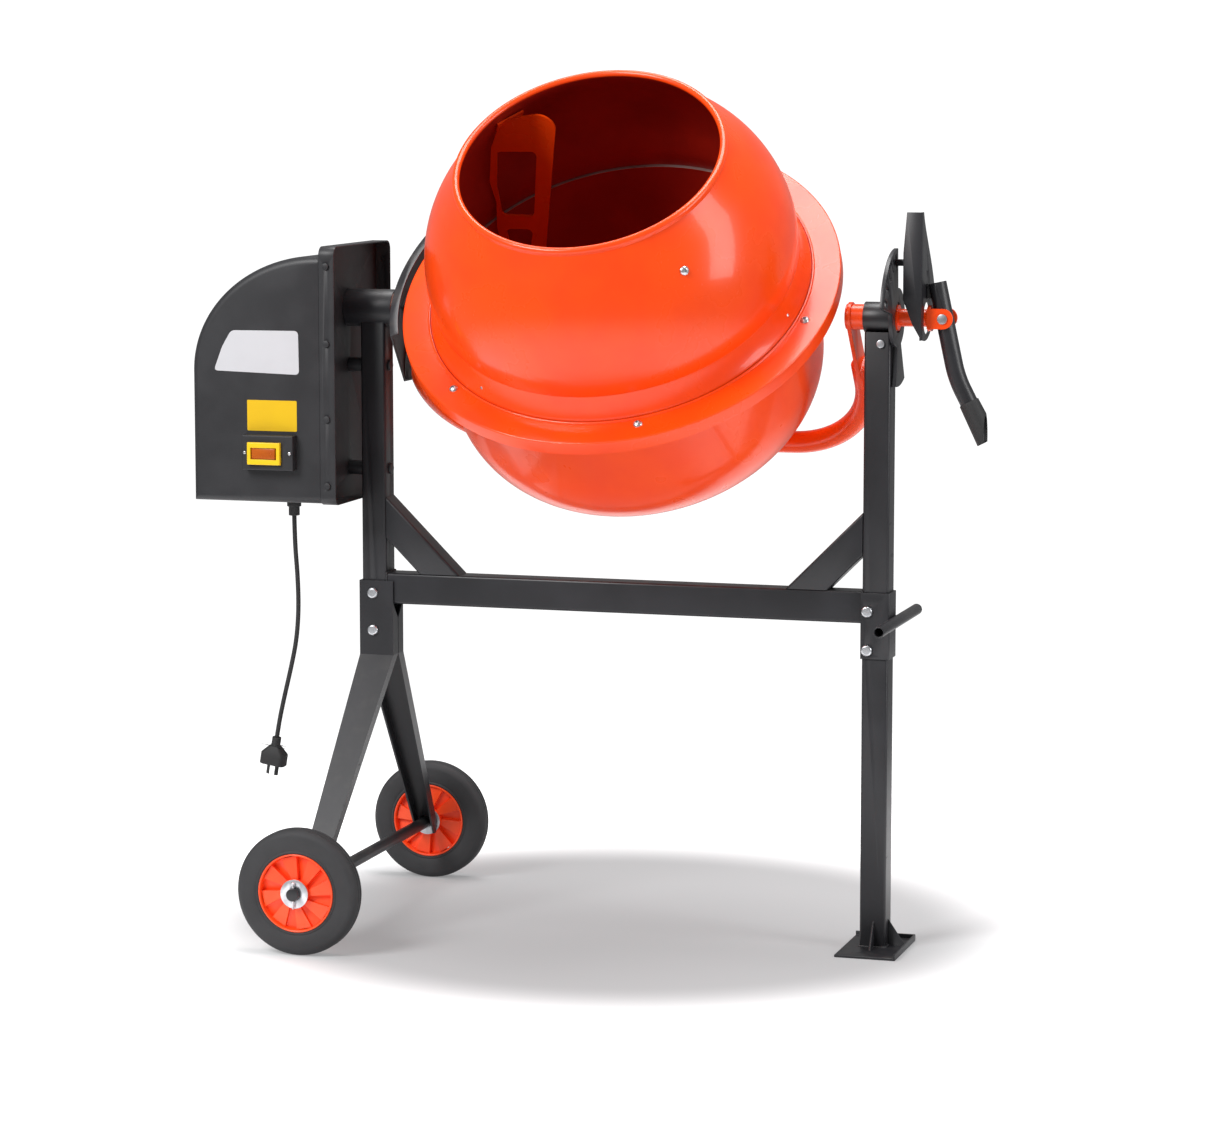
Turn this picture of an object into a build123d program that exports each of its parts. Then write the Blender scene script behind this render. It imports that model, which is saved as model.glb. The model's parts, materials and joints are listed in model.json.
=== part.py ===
from build123d import *
import os
from math import asin, cos, degrees, pi, radians, sin, tan

# Electric concrete mixer: a tilting drum in a yoke, carried by a square-tube frame with two wheels
# and a foot plate.  X runs to the right along the tilt axis, -Y is the side the drum empties to,
# Z is up.  The working origin is on the ground, midway between the posts; every piece is moved by
# ORIGIN as it is written, so the finished origin is under the middle of the machine's outline.
ORIGIN = (44.0, 10.5, 0.0)

# ---- Fits ----
FIT = 0.05            # radial clearance of a shaft or pin in its hole
GAP = 0.4             # clearance between pieces that move past each other
WELD = 0.5            # how far a welded piece is sunk into its neighbour

# ---- Frame ----
TUBE = 40.0           # side of the square frame tube
TUBE_WALL = 2.5
TUBE_CORNER = 4.0     # outside rounding of the square tubes
PLATE = 3.0           # thickness of pressed brackets and wheel legs
POST_X = 397.5        # centre of each post from the middle
TRUNNION_Z = 953.0    # height of the tilt axis
POST_TOP = TRUNNION_Z - 21.0
LEFT_POST_FOOT = 430.0
LEG_JOINT_Z = 485.0   # where the right post ends and the right leg begins
BAR_LOW = 496.0
BAR_TALL = 48.0
BRACE_WIDTH = 46.0
BRACE_REACH = 118.5   # how far along the crossbar a brace's outer edge starts
FOOT_LOW_X, FOOT_HIGH_X = 354.5, 447.5
FOOT_LOW_Y, FOOT_HIGH_Y = -86.0, 58.0
FOOT_THICK = 4.0
FOOT_LIP = 10.0
BRACKET_LOW, BRACKET_HIGH = 443.0, 543.0
HANDLE_RADIUS = 8.5
HANDLE_HALF = 130.0
HANDLE_Z = 500.0
BOLT_RADIUS = 5.0
BOLT_HEAD_RADIUS = 8.5
RIGHT_BOLT_X = 386.0
RIGHT_BOLTS_Z = (514.5, 456.0)
LEFT_BOLT_X = -399.0
LEFT_BOLTS_Z = (512.5, 454.5)

# ---- Wheels and their legs ----
AXLE_RADIUS = 9.5
AXLE_X = -418.0
TYRE_RADIUS = 96.0    # also the height of the axle
RIM_RADIUS = 59.5
WHEEL_WIDTH = 36.0
WHEEL_Y = 296.0
HUB_RADIUS = 20.0
WASHER_RADIUS = 22.0
HUB_HALF = 20.0
RIM_RIBS = 8
LEG_TOP_X = (-421.0, -366.0)
LEG_BOTTOM_X = (-434.0, -402.0)
LEG_DEPTH = 22.0      # height of the pressed flanges
LEG_BEND_Z = 416.0
LEG_TOP_Z = 532.0
LEG_FOOT_Z = 78.0
LEG_SPREAD = WHEEL_Y - 34.0    # how far the leg runs outwards below its bend

# ---- Tilt axis ----
RIGHT_SLEEVE_X = (375.0, 422.0)
RIGHT_SLEEVE_RADIUS = 23.0
RIGHT_TRUNNION_RADIUS = 19.0
LEFT_SLEEVE_X = (-443.0, -365.0)
LEFT_SLEEVE_RADIUS = 29.0
LEFT_TRUNNION_RADIUS = 23.0
LEFT_TRUNNION_BORE = 14.0
SLEEVE_WALL = 3.0
QUADRANT_X = (419.0, 425.0)
QUADRANT_RADIUS = 103.0
NOTCH_RADII = (76.0, 97.0)   # inner and outer end of each notch
TOOTH_RADIUS = 84.5
QUADRANT_NOTCHES = (103.0, 118.0, 133.0, 148.0, 163.0)   # every 15 degrees of tilt, from rest

# ---- Tilt lever ----
HUB_X = 495.0
LEVER_RADIUS = 13.5
LEVER_BORE = 11.0
LEVER_TOP = (483.0, TRUNNION_Z + 53.0)
LEVER_KNEE = (513.5, TRUNNION_Z - 87.0)
LEVER_END = (561.7, TRUNNION_Z - 180.0)
LEVER_CUT_X = 557.7   # plane that cuts the lower end obliquely
LEVER_CUT_Z = (TRUNNION_Z - 253.0, TRUNNION_Z - 123.0)
LEVER_BEND = 160.0
GRIP_START_Z = TRUNNION_Z - 103.0
GRIP_RADIUS = 15.2
PIN_RADIUS = 5.0
FORK_HALF_GAP = LEVER_RADIUS + 0.8
FORK_EAR = 5.0
EAR_RADIUS = 15.0
FORK_REACH = FORK_HALF_GAP + FORK_EAR
SPRING_WIRE = 1.0     # radius of the return spring's wire
SPRING_ROOM = 13.0    # length of pin that the spring takes
STUB_RADIUS = 13.0
CHANNEL_X = (440.0, 468.0)
CHANNEL_Y = (-40.0, 54.0)
CHANNEL_Z = (TRUNNION_Z - 31.0, TRUNNION_Z + 157.0)
STUB_HOLE = 24.0
FORK_DISC_X = (470.5, 476.0)

# ---- Drum, measured along its own axis from the tilt axis ----
DRUM_X = 4.0
DRUM_TILT = 39.1      # lean of the drum's axis from upright, towards the emptying side
SHEET = 2.5
MOUTH_RADIUS, MOUTH_S = 200.0, 300.0
MOUTH_BEAD = 5.5
BELLY_RADIUS, BELLY_S = 280.5, 120.0
BELLY_CURVE = 226.0   # radius of the belly's arc, which starts upright at BELLY_S
BELLY_TURN = 40.2     # angle through which it leans in before the straight cone
NECK_RADIUS, NECK_S = 278.0, 88.0
FLANGE_RADIUS = 335.0
FLANGE_TOP_S = 50.0
FLANGE_LIP = 22.0
FLANGE_BEAD_RADIUS = 293.0
SEAL_THICK = 3.0
BOWL_RADIUS = 287.0
BOWL_CORNER = 143.0
BOWL_SIDE_S = -90.0   # where the bowl's straight wall starts to round in
LOWER_FLANGE_RADIUS = 328.0
DRUM_BOLTS = 6
DRUM_BOLT_CIRCLE = 305.0
DRUM_BOLT_FIRST = -132.0
BLADE_ANGLE = 180.0
BLADE_OFFSET = 150.0   # how far the blade's plane passes from the drum's axis
BLADE_THICK = 4.0
BLADE_BOLT_LEAN = 33.0   # where a blade's bolt sits on the belly's arc
BLADE_BOLT_TURN = -45.0  # angle round the drum from the blade to its bolt
SPINDLE_RADIUS = 15.0
HUB_S = (-296.0, -246.0)
HUB_OUTER = 32.0
BEARING_OUTER = 26.0

# ---- Drive ----
RING_TEETH = 144
PINION_TEETH = 12
GEAR_RADIUS = 306.0   # mean radius of the crown gear's teeth
GEAR_FACE = 20.0
ADDENDUM = 3.8
RING_ROOT = 6.0
PINION_ROOT = 5.2
TOOTH_HALF = 2.8      # half a tooth's thickness at the pitch line
PRESSURE_ANGLE = 20.0
SHAFT_RADIUS = 9.0
BELT_X = -468.0
BELT_WIDTH = 9.0
BELT_THICK = 6.0
BIG_PULLEY_PITCH = 72.0
PULLEY_RATIO = 25.0 / 6.0
PULLEY_WIDTH = 18.0
MOTOR_Z = TRUNNION_Z - 193.0
MOTOR_RADIUS = 62.0
MOTOR_X = (-640.0, -500.0)
MOTOR_SHAFT_RADIUS = 7.0

# ---- Yoke ----
YOKE_HALF = 356.0
YOKE_BOTTOM_S = -265.0
YOKE_TUBE_RADIUS = 17.0
YOKE_TUBE_WALL = 3.0
YOKE_CORNER = 130.0
YOKE_TUBE_TOP_S = -95.0
STRAP_THICK = 6.0
STRAP_WIDTH = 44.0
STRAP_FOOT_S = -125.0
GUARD_RADIUS = 354.0
GUARD_WALL = 3.5
GUARD_SPAN = 20.0     # half angle that the pinion guard covers
GUARD_S = (-40.0, 56.0)
GUARD_FLANGE = 13.0

# ---- Drive housing ----
TRAY_WEB = 2.0
TRAY_X = (-445.0, -420.0)
TRAY_HALF = 125.0
TRAY_Z = (TRUNNION_Z - 295.0, TRUNNION_Z + 99.0)
TRAY_CORNER = 14.0
COVER_X = -654.0
COVER_LOW, COVER_HIGH = TRUNNION_Z - 293.0, TRUNNION_Z + 85.0
COVER_CURVE_Z = TRUNNION_Z - 93.0
COVER_WALL = 2.5
COVER_ROUND = 12.0
SPACERS = ((0.0, TRUNNION_Z - 248.0), (0.0, TRUNNION_Z - 88.0))
COVER_SCREWS_Z = [TRUNNION_Z + height for height in (-265.0, -163.0, -48.0, 69.0)]
SWITCH_X, SWITCH_Z = -524.0, TRUNNION_Z - 215.0
SWITCH_SIZE = (83.0, 18.0, 53.0)
FRAME_SIZE = (53.5, 6.0, 34.0)
ROCKER_SIZE = (39.0, 16.0)
ROCKER_X, ROCKER_Z = -528.3, TRUNNION_Z - 216.0

# ---- Power cord ----
GLAND = (-513.5, -60.0)
GLAND_FOOT = TRUNNION_Z - 319.0
CORD_RADIUS = 3.5
CORD_ROUTE = [
    (-513.5, -60.0, GLAND_FOOT),
    (-513.0, -60.0, GLAND_FOOT - 44.0),
    (-508.5, -61.0, GLAND_FOOT - 94.0),
    (-507.0, -62.0, GLAND_FOOT - 146.0),
    (-511.0, -62.0, GLAND_FOOT - 194.0),
    (-521.0, -61.0, GLAND_FOOT - 238.0),
    (-533.0, -60.0, GLAND_FOOT - 284.0),
    (-543.0, -59.0, GLAND_FOOT - 326.0),
    (-547.0, -58.5, GLAND_FOOT - 349.5),
]

# ---- Values that follow from the ones above ----
HALF_TUBE = TUBE / 2
POST_INNER = POST_X - HALF_TUBE
POST_OUTER = POST_X + HALF_TUBE
BAR_TOP = BAR_LOW + BAR_TALL
PLATE_FRONT = -HALF_TUBE - PLATE
AXLE_HALF = WHEEL_Y + 32.0
PINION_RADIUS = GEAR_RADIUS * PINION_TEETH / RING_TEETH
PINION_X = DRUM_X - GEAR_RADIUS
RING_ROOT_S = PINION_RADIUS + RING_ROOT
LOWER_FLANGE_S = FLANGE_TOP_S - SHEET - SEAL_THICK
RING_TOP_S = LOWER_FLANGE_S - SHEET
BOWL_BOTTOM_S = BOWL_SIDE_S - BOWL_CORNER
MOTOR_PULLEY_PITCH = BIG_PULLEY_PITCH / PULLEY_RATIO
DRUM_PLACE = Location((0, 0, TRUNNION_Z), (DRUM_TILT, 0, 0))
DRUM_AXIS = Location((DRUM_X, 0, 0))


# ---- Helpers ----
def block(x, y, z):
    """A box between two limits along each axis."""
    return Pos(sum(x) / 2, sum(y) / 2, sum(z) / 2) * Box(x[1] - x[0], y[1] - y[0], z[1] - z[0])


def rod(radius, start, end):
    """A round bar between two points."""
    line = Vector(*end) - Vector(*start)
    return extrude(Plane(origin=start, z_dir=line) * Circle(radius), line.length)


def pipe(radius, bore, start, end):
    return rod(radius, start, end) - rod(bore, start, end)


def rod_x(radius, x, y=0.0, z=TRUNNION_Z):
    return rod(radius, (x[0], y, z), (x[1], y, z))


def pipe_x(radius, bore, x, y=0.0, z=TRUNNION_Z):
    return rod_x(radius, x, y, z) - rod_x(bore, x, y, z)


def slab(outline, depth):
    """A flat plate: a closed outline of 3-D points, thickened by a vector."""
    vector = Vector(*depth)
    return extrude(make_face(Polyline(*outline, close=True)), amount=vector.length, dir=vector)


def turned(profile):
    """A ring or disc turned about the Z axis from (radius, height) points."""
    return revolve(make_face(Polyline(*[(r, 0, s) for r, s in profile], close=True)), Axis.Z)


def polar(radius, angle, height=0.0):
    return (radius * cos(radians(angle)), radius * sin(radians(angle)), height)


def on_drum(shape):
    """Place a piece that was made along the drum's own axis."""
    return DRUM_PLACE * DRUM_AXIS * shape


def rounded_box(x, y, z, radius, axis):
    shape = block(x, y, z)
    return fillet(shape.edges().filter_by(axis), radius)


def square_tube(x, y, z, along):
    """A square tube that is open along one axis."""
    inner = []
    for axis, limits in enumerate((x, y, z)):
        wall = 0.0 if axis == along else TUBE_WALL
        inner.append((limits[0] + wall, limits[1] - wall))
    direction = (Axis.X, Axis.Y, Axis.Z)[along]
    tube = rounded_box(x, y, z, TUBE_CORNER, direction)
    return tube - rounded_box(*inner, TUBE_CORNER - TUBE_WALL, direction)


# ---- Frame ----
def left_post():
    tube = square_tube((-POST_OUTER, -POST_INNER), (-HALF_TUBE, HALF_TUBE), (LEFT_POST_FOOT, POST_TOP), 2)
    tube -= rod_x(LEFT_SLEEVE_RADIUS, (-POST_OUTER - 5, -POST_INNER + 5))
    for z in LEFT_BOLTS_Z:
        tube -= rod(BOLT_RADIUS + FIT, (LEFT_BOLT_X, -TUBE, z), (LEFT_BOLT_X, TUBE, z))
    for y, z in SPACERS:
        tube -= rod_x(BOLT_RADIUS + FIT, (-POST_OUTER - 5, -POST_INNER + 5), y, z)
    return tube


def right_post():
    tube = square_tube((POST_INNER, POST_OUTER), (-HALF_TUBE, HALF_TUBE), (LEG_JOINT_Z, POST_TOP), 2)
    tube -= rod_x(RIGHT_SLEEVE_RADIUS, (POST_INNER - 5, POST_OUTER + 5))
    z = RIGHT_BOLTS_Z[0]
    return tube - rod(BOLT_RADIUS + FIT, (RIGHT_BOLT_X, -TUBE, z), (RIGHT_BOLT_X, TUBE, z))


def crossbar():
    return square_tube((-POST_INNER, POST_INNER), (-HALF_TUBE, HALF_TUBE), (BAR_LOW, BAR_TOP), 0)


def brace(side):
    """A 45 degree strut in the corner above the crossbar."""
    middle = BRACE_REACH - BRACE_WIDTH / 2 * 2 ** 0.5
    outer = Box(400, TUBE, BRACE_WIDTH)
    outer = fillet(outer.edges().filter_by(Axis.X), TUBE_CORNER)
    outer -= Box(400, TUBE - 2 * TUBE_WALL, BRACE_WIDTH - 2 * TUBE_WALL)
    strut = Pos(POST_INNER - middle / 2, 0, BAR_TOP + middle / 2) * Rot(0, -45, 0) * outer
    strut &= block((0, POST_INNER), (-TUBE, TUBE), (BAR_TOP, POST_TOP))
    return strut if side > 0 else mirror(strut, about=Plane.YZ)


def braces():
    return Compound(children=[brace(1), brace(-1)])


def right_leg():
    tube = square_tube((POST_INNER, POST_OUTER), (-HALF_TUBE, HALF_TUBE), (FOOT_THICK, LEG_JOINT_Z), 2)
    z = RIGHT_BOLTS_Z[1]
    return tube - rod(BOLT_RADIUS + FIT, (RIGHT_BOLT_X, -TUBE, z), (RIGHT_BOLT_X, TUBE, z))


def leg_bracket():
    """The channel that clamps the right leg to its post."""
    x = (POST_INNER - 1.5, POST_OUTER + PLATE)
    z = (BRACKET_LOW, BRACKET_HIGH)
    channel = block(x, (PLATE_FRONT, -PLATE_FRONT), z)
    channel -= block((x[0] - 1, POST_OUTER), (-HALF_TUBE, HALF_TUBE), z)
    channel -= block((x[0] - 1, POST_INNER), (-HALF_TUBE, HALF_TUBE), z)
    for bolt_z in RIGHT_BOLTS_Z:
        start, end = (RIGHT_BOLT_X, -TUBE, bolt_z), (RIGHT_BOLT_X, TUBE, bolt_z)
        channel -= rod(BOLT_RADIUS + FIT, start, end)
    return fillet(channel.edges().filter_by(Axis.Z).group_by(Axis.X)[-1], PLATE)


def foot_plate():
    """Ground plate with a turned-up lip on two edges and gussets beside the leg."""
    x, y = (FOOT_LOW_X, FOOT_HIGH_X), (FOOT_LOW_Y, FOOT_HIGH_Y)
    plate = block(x, y, (0, FOOT_THICK))
    plate += block((x[1] - PLATE, x[1]), y, (0, FOOT_LIP))
    plate += block(x, (y[1] - PLATE, y[1]), (0, FOOT_LIP))
    reach, rise = 26.0, 40.0
    front = [(POST_X, -HALF_TUBE, FOOT_THICK), (POST_X, -HALF_TUBE - reach, FOOT_THICK),
             (POST_X, -HALF_TUBE, FOOT_THICK + rise)]
    plate += slab(front, (PLATE, 0, 0))
    side = [(POST_OUTER, 0, FOOT_THICK), (FOOT_HIGH_X - PLATE, 0, FOOT_THICK),
            (POST_OUTER, 0, FOOT_THICK + rise)]
    plate += slab(side, (0, PLATE, 0))
    return plate


def leg_section(z, x, front, inset):
    """One cross-section of the front wheel leg, drawn at height z."""
    low, high = x[0] + inset, x[1] - inset
    near, far = front + inset, front + LEG_DEPTH + inset
    return Plane.XY.offset(z) * Pos((low + high) / 2, (near + far) / 2) * Rectangle(high - low, far - near)


def front_wheel_leg():
    """A pressed channel: upright over the post, then bent out to the axle and tapered."""
    top_y = PLATE_FRONT
    foot_y = top_y - LEG_SPREAD
    upright = block(LEG_TOP_X, (top_y, top_y + LEG_DEPTH), (LEG_BEND_Z, LEG_TOP_Z))
    hollow_x = (LEG_TOP_X[0] + PLATE, LEG_TOP_X[1] - PLATE)
    upright -= block(hollow_x, (top_y + PLATE, 0), (LEG_BEND_Z, LEG_TOP_Z))
    corner = LEG_TOP_X[1] - 5
    notch = [(corner, top_y + PLATE, BAR_LOW - 2), (corner, 5, BAR_LOW - 30), (corner, 5, BAR_TOP),
             (corner, top_y + PLATE, BAR_TOP)]
    upright -= slab(notch, (8, 0, 0))
    slant = loft([leg_section(LEG_BEND_Z, LEG_TOP_X, top_y, 0),
                  leg_section(LEG_FOOT_Z, LEG_BOTTOM_X, foot_y, 0)])
    slant -= loft([leg_section(LEG_BEND_Z, LEG_TOP_X, top_y, PLATE),
                   leg_section(LEG_FOOT_Z, LEG_BOTTOM_X, foot_y, PLATE)])
    leg = upright + slant
    leg -= block((-500, -300), (-400, -WHEEL_Y + HUB_HALF + 4), (0, LEG_BEND_Z))
    leg -= rod(AXLE_RADIUS + FIT, (AXLE_X, -AXLE_HALF, TYRE_RADIUS), (AXLE_X, 0, TYRE_RADIUS))
    for z in LEFT_BOLTS_Z:
        leg -= rod(BOLT_RADIUS + FIT, (LEFT_BOLT_X, -TUBE, z), (LEFT_BOLT_X, 0, z))
    return leg


def rear_wheel_leg():
    return mirror(front_wheel_leg(), about=Plane.XZ)


def axle():
    bar = rod(AXLE_RADIUS, (AXLE_X, -AXLE_HALF, TYRE_RADIUS), (AXLE_X, AXLE_HALF, TYRE_RADIUS))
    for side in (-1, 1):
        y = side * (AXLE_HALF - 5)
        bar -= rod(1.6 + FIT, (AXLE_X, y, TYRE_RADIUS - 20), (AXLE_X, y, TYRE_RADIUS + 20))
    return bar


def axle_washers():
    rings = []
    for side in (-1, 1):
        for low in (WHEEL_Y - HUB_HALF - 3.0, WHEEL_Y + HUB_HALF + 0.5):
            start, end = (AXLE_X, side * low, TYRE_RADIUS), (AXLE_X, side * (low + 2.5), TYRE_RADIUS)
            rings.append(pipe(WASHER_RADIUS, AXLE_RADIUS + FIT, start, end))
    return Compound(children=rings)


def split_pins():
    pins = []
    for side in (-1, 1):
        y = side * (AXLE_HALF - 5)
        pin = rod(1.6, (AXLE_X, y, TYRE_RADIUS - 22), (AXLE_X, y, TYRE_RADIUS + 17))
        pin += Pos(AXLE_X, y, TYRE_RADIUS + 16) * Sphere(3.2)
        pins.append(pin)
    return Compound(children=pins)


def lift_handle():
    """The round bar across the right leg that the machine is lifted by."""
    x = POST_OUTER + PLATE + HANDLE_RADIUS - WELD
    return pipe(HANDLE_RADIUS, HANDLE_RADIUS - 2, (x, -HANDLE_HALF, HANDLE_Z), (x, HANDLE_HALF, HANDLE_Z))


def dome_bolt(x, z):
    """A domed bolt from front to back with its nut behind."""
    head = Pos(x, PLATE_FRONT, z) * Rot(90, 0, 0) * Cylinder(BOLT_HEAD_RADIUS, 4.5, align=(
        Align.CENTER, Align.CENTER, Align.MIN))
    head = fillet(head.edges().group_by(Axis.Y)[0], 3.0)
    shank = rod(BOLT_RADIUS, (x, PLATE_FRONT, z), (x, -PLATE_FRONT + 10, z))
    nut = Plane(origin=(x, -PLATE_FRONT, z), z_dir=(0, 1, 0)) * RegularPolygon(9.8, 6)
    return head + shank + extrude(nut, 8)


def frame_bolts():
    bolts = [dome_bolt(RIGHT_BOLT_X, z) for z in RIGHT_BOLTS_Z]
    bolts += [dome_bolt(LEFT_BOLT_X, z) for z in LEFT_BOLTS_Z]
    x, z = POST_X + 5.5, POST_TOP - 17
    head = rod(6.0, (x, -HALF_TUBE - 3.5, z), (x, -HALF_TUBE, z))
    return Compound(children=bolts + [head])


# ---- Tilt bearings and locking quadrant ----
def left_sleeve():
    return pipe_x(LEFT_SLEEVE_RADIUS, LEFT_SLEEVE_RADIUS - SLEEVE_WALL, LEFT_SLEEVE_X)


def right_sleeve():
    return pipe_x(RIGHT_SLEEVE_RADIUS, RIGHT_SLEEVE_RADIUS - SLEEVE_WALL + 1, RIGHT_SLEEVE_X)


def trunnion_bushes():
    """Plain bearings pressed into both ends of both sleeves."""
    rings = []
    for limits, outer, inner in (
            (LEFT_SLEEVE_X, LEFT_SLEEVE_RADIUS - SLEEVE_WALL, LEFT_TRUNNION_RADIUS),
            (RIGHT_SLEEVE_X, RIGHT_SLEEVE_RADIUS - SLEEVE_WALL + 1, RIGHT_TRUNNION_RADIUS)):
        length = 18.0
        for start in (limits[0], limits[1] - length):
            rings.append(pipe_x(outer, inner + FIT, (start, start + length)))
    return Compound(children=rings)


def sector(radius, angles, x):
    """A wedge about the tilt axis, its angles counted from +Y towards +Z."""
    reach = 2.0 * radius
    points = [(x[0], 0, TRUNNION_Z)]
    steps = 6
    for step in range(steps + 1):
        angle = angles[0] + (angles[1] - angles[0]) * step / steps
        y, z, _ = polar(reach, angle)
        points.append((x[0], y, TRUNNION_Z + z))
    return slab(points, (x[1] - x[0], 0, 0))


def locking_plate():
    """The fixed plate whose notches, inside its rim, hold the drum at each tilt."""
    rim_x = QUADRANT_X
    full = rod_x(QUADRANT_RADIUS, rim_x)
    hub = rod_x(44.0, rim_x)
    wedges = sector(QUADRANT_RADIUS, (93, 170), rim_x) + sector(QUADRANT_RADIUS, (262, 296), rim_x)
    plate = full & wedges
    plate += hub
    for angle in QUADRANT_NOTCHES:
        slot = block((rim_x[0] - 1, rim_x[1] + 1), NOTCH_RADII, (-4.5, 4.5))
        plate -= Pos(0, 0, TRUNNION_Z) * Rot(angle, 0, 0) * slot
    return plate - rod_x(RIGHT_SLEEVE_RADIUS, (RIGHT_SLEEVE_X[0], QUADRANT_X[1] + 5))


# ---- Drive housing ----
def housing_tray():
    """The pressed tray behind the drive: a flat web with a rim turned towards the drum."""
    tray = rounded_box(TRAY_X, (-TRAY_HALF, TRAY_HALF), TRAY_Z, TRAY_CORNER, Axis.X)
    wall = TRAY_WEB
    inner_x = (TRAY_X[0] + wall, TRAY_X[1])
    inner_z = (TRAY_Z[0] + wall, TRAY_Z[1] - wall)
    half = TRAY_HALF - wall
    tray -= rounded_box(inner_x, (-half, half), inner_z, TRAY_CORNER - wall, Axis.X)
    tray -= rod_x(SHAFT_RADIUS + 3, (TRAY_X[0] - 1, TRAY_X[1]))
    for y, z in SPACERS:
        tray -= rod_x(BOLT_RADIUS + FIT, (TRAY_X[0] - 1, TRAY_X[1]), y, z)
    for z in COVER_SCREWS_Z:
        x = TRAY_X[0] + 12
        tray -= rod(3.0 + FIT, (x, -TRAY_HALF - 5, z), (x, TRAY_HALF + 5, z))
    return tray


def housing_spacers():
    """Bolts and distance tubes that hold the tray on the left post."""
    pieces = []
    for y, z in SPACERS:
        pieces.append(pipe_x(11.0, BOLT_RADIUS + FIT, (TRAY_X[0] + TRAY_WEB, -POST_OUTER), y, z))
        bolt = rod_x(BOLT_RADIUS, (TRAY_X[0], -POST_INNER), y, z)
        bolt += rod_x(BOLT_HEAD_RADIUS, (TRAY_X[0] - 4, TRAY_X[0]), y, z)
        bolt += rod_x(BOLT_HEAD_RADIUS, (-POST_INNER, -POST_INNER + 3.5), y, z)
        pieces.append(bolt)
    return Compound(children=pieces)


def cover_outline(inset):
    """Side view of the cover: flat bottom and left side, with a quarter ellipse over the top."""
    right, left = TRAY_X[0], COVER_X + inset
    low, high = COVER_LOW + inset, COVER_HIGH - inset
    side = Line((left, 0, low), (left, 0, COVER_CURVE_Z))
    curve = EllipticalCenterArc((0, 0), right - left, high - COVER_CURVE_Z, 90, arc_size=90)
    curve = Pos(right, 0, COVER_CURVE_Z) * Rot(90, 0, 0) * curve
    base = Polyline((right, 0, high), (right, 0, low), (left, 0, low))
    return make_face(side + curve + base)


def cover_shape(inset):
    half = TRAY_HALF - inset
    shape = extrude(cover_outline(inset), amount=half, dir=(0, 1, 0), both=True)
    ends = [e for e in shape.edges() if abs(abs(e.center().Y) - half) < 0.01]
    ends = [e for e in ends if e.center().X < TRAY_X[0] - 1]
    return fillet(ends, COVER_ROUND - inset)


def housing_cover():
    cover = cover_shape(0) - cover_shape(COVER_WALL)
    x, y = GLAND
    cover -= rod(8.0, (x, y, COVER_LOW - 5), (x, y, COVER_LOW + 5))
    return cover


def housing_screws():
    """Small screws: eight that hold the cover to the tray and two in the switch."""
    screws = []
    for side in (-1, 1):
        rim, head = side * TRAY_HALF, side * (TRAY_HALF + 3)
        inside = side * (TRAY_HALF - TRAY_WEB)
        for z in COVER_SCREWS_Z:
            x = TRAY_X[0] + 12
            screws.append(rod(3.0, (x, inside, z), (x, rim, z)) + rod(5.0, (x, rim, z), (x, head, z)))
    front = -TRAY_HALF - SWITCH_SIZE[1]
    for x in (SWITCH_X - 36.5, SWITCH_X + 36.5):
        screws.append(rod(2.6, (x, front - 1.2, SWITCH_Z), (x, front, SWITCH_Z)))
    return Compound(children=screws)


# ---- Switch ----
def switch_box():
    front = -TRAY_HALF - SWITCH_SIZE[1]
    box = block((SWITCH_X - SWITCH_SIZE[0] / 2, SWITCH_X + SWITCH_SIZE[0] / 2), (front, -TRAY_HALF),
                (SWITCH_Z - SWITCH_SIZE[2] / 2, SWITCH_Z + SWITCH_SIZE[2] / 2))
    box = fillet(box.edges().group_by(Axis.Y)[0], 2.0)
    half_x, half_z = ROCKER_SIZE[0] / 2 + 1.5, ROCKER_SIZE[1] / 2 + 1
    return box - block((ROCKER_X - half_x, ROCKER_X + half_x), (front - 1, front + 11),
                       (ROCKER_Z - half_z, ROCKER_Z + half_z))


def switch_frame():
    front = -TRAY_HALF - SWITCH_SIZE[1]
    half_x, half_z = FRAME_SIZE[0] / 2, FRAME_SIZE[2] / 2
    frame = block((ROCKER_X - half_x, ROCKER_X + half_x), (front - FRAME_SIZE[1], front),
                  (ROCKER_Z - half_z, ROCKER_Z + half_z))
    frame = fillet(frame.edges().group_by(Axis.Y)[0], 1.5)
    half_x, half_z = ROCKER_SIZE[0] / 2 + 1.5, ROCKER_SIZE[1] / 2 + 0.8
    return frame - block((ROCKER_X - half_x, ROCKER_X + half_x), (front - 20, front + 1),
                         (ROCKER_Z - half_z, ROCKER_Z + half_z))


def switch_rocker():
    """The rocker, at rest with its left half pressed in; it turns about its middle."""
    pivot_y = -TRAY_HALF - SWITCH_SIZE[1]
    half_x, half_z = ROCKER_SIZE[0] / 2, ROCKER_SIZE[1] / 2
    low = ROCKER_Z - half_z
    outline = [(ROCKER_X - half_x, pivot_y - 4.5, low), (ROCKER_X, pivot_y - 4.5, low),
               (ROCKER_X + half_x, pivot_y - 8.0, low), (ROCKER_X + half_x, pivot_y + 2.5, low),
               (ROCKER_X - half_x, pivot_y + 2.5, low)]
    return slab(outline, (0, 0, 2 * half_z))


# ---- Motor and belt ----
def motor_housing():
    low, high = MOTOR_X
    body = rod_x(MOTOR_RADIUS, (low, high), 0, MOTOR_Z)
    body = fillet(body.edges(), 8.0)
    for index in range(18):
        fin = block((low + 28, high - 28), (MOTOR_RADIUS - 2, MOTOR_RADIUS + 3), (-1.2, 1.2))
        body += Pos(0, 0, MOTOR_Z) * Rot(20 * index, 0, 0) * fin
    return body - rod_x(MOTOR_SHAFT_RADIUS + 1, (low + 20, high + 1), 0, MOTOR_Z)


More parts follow.
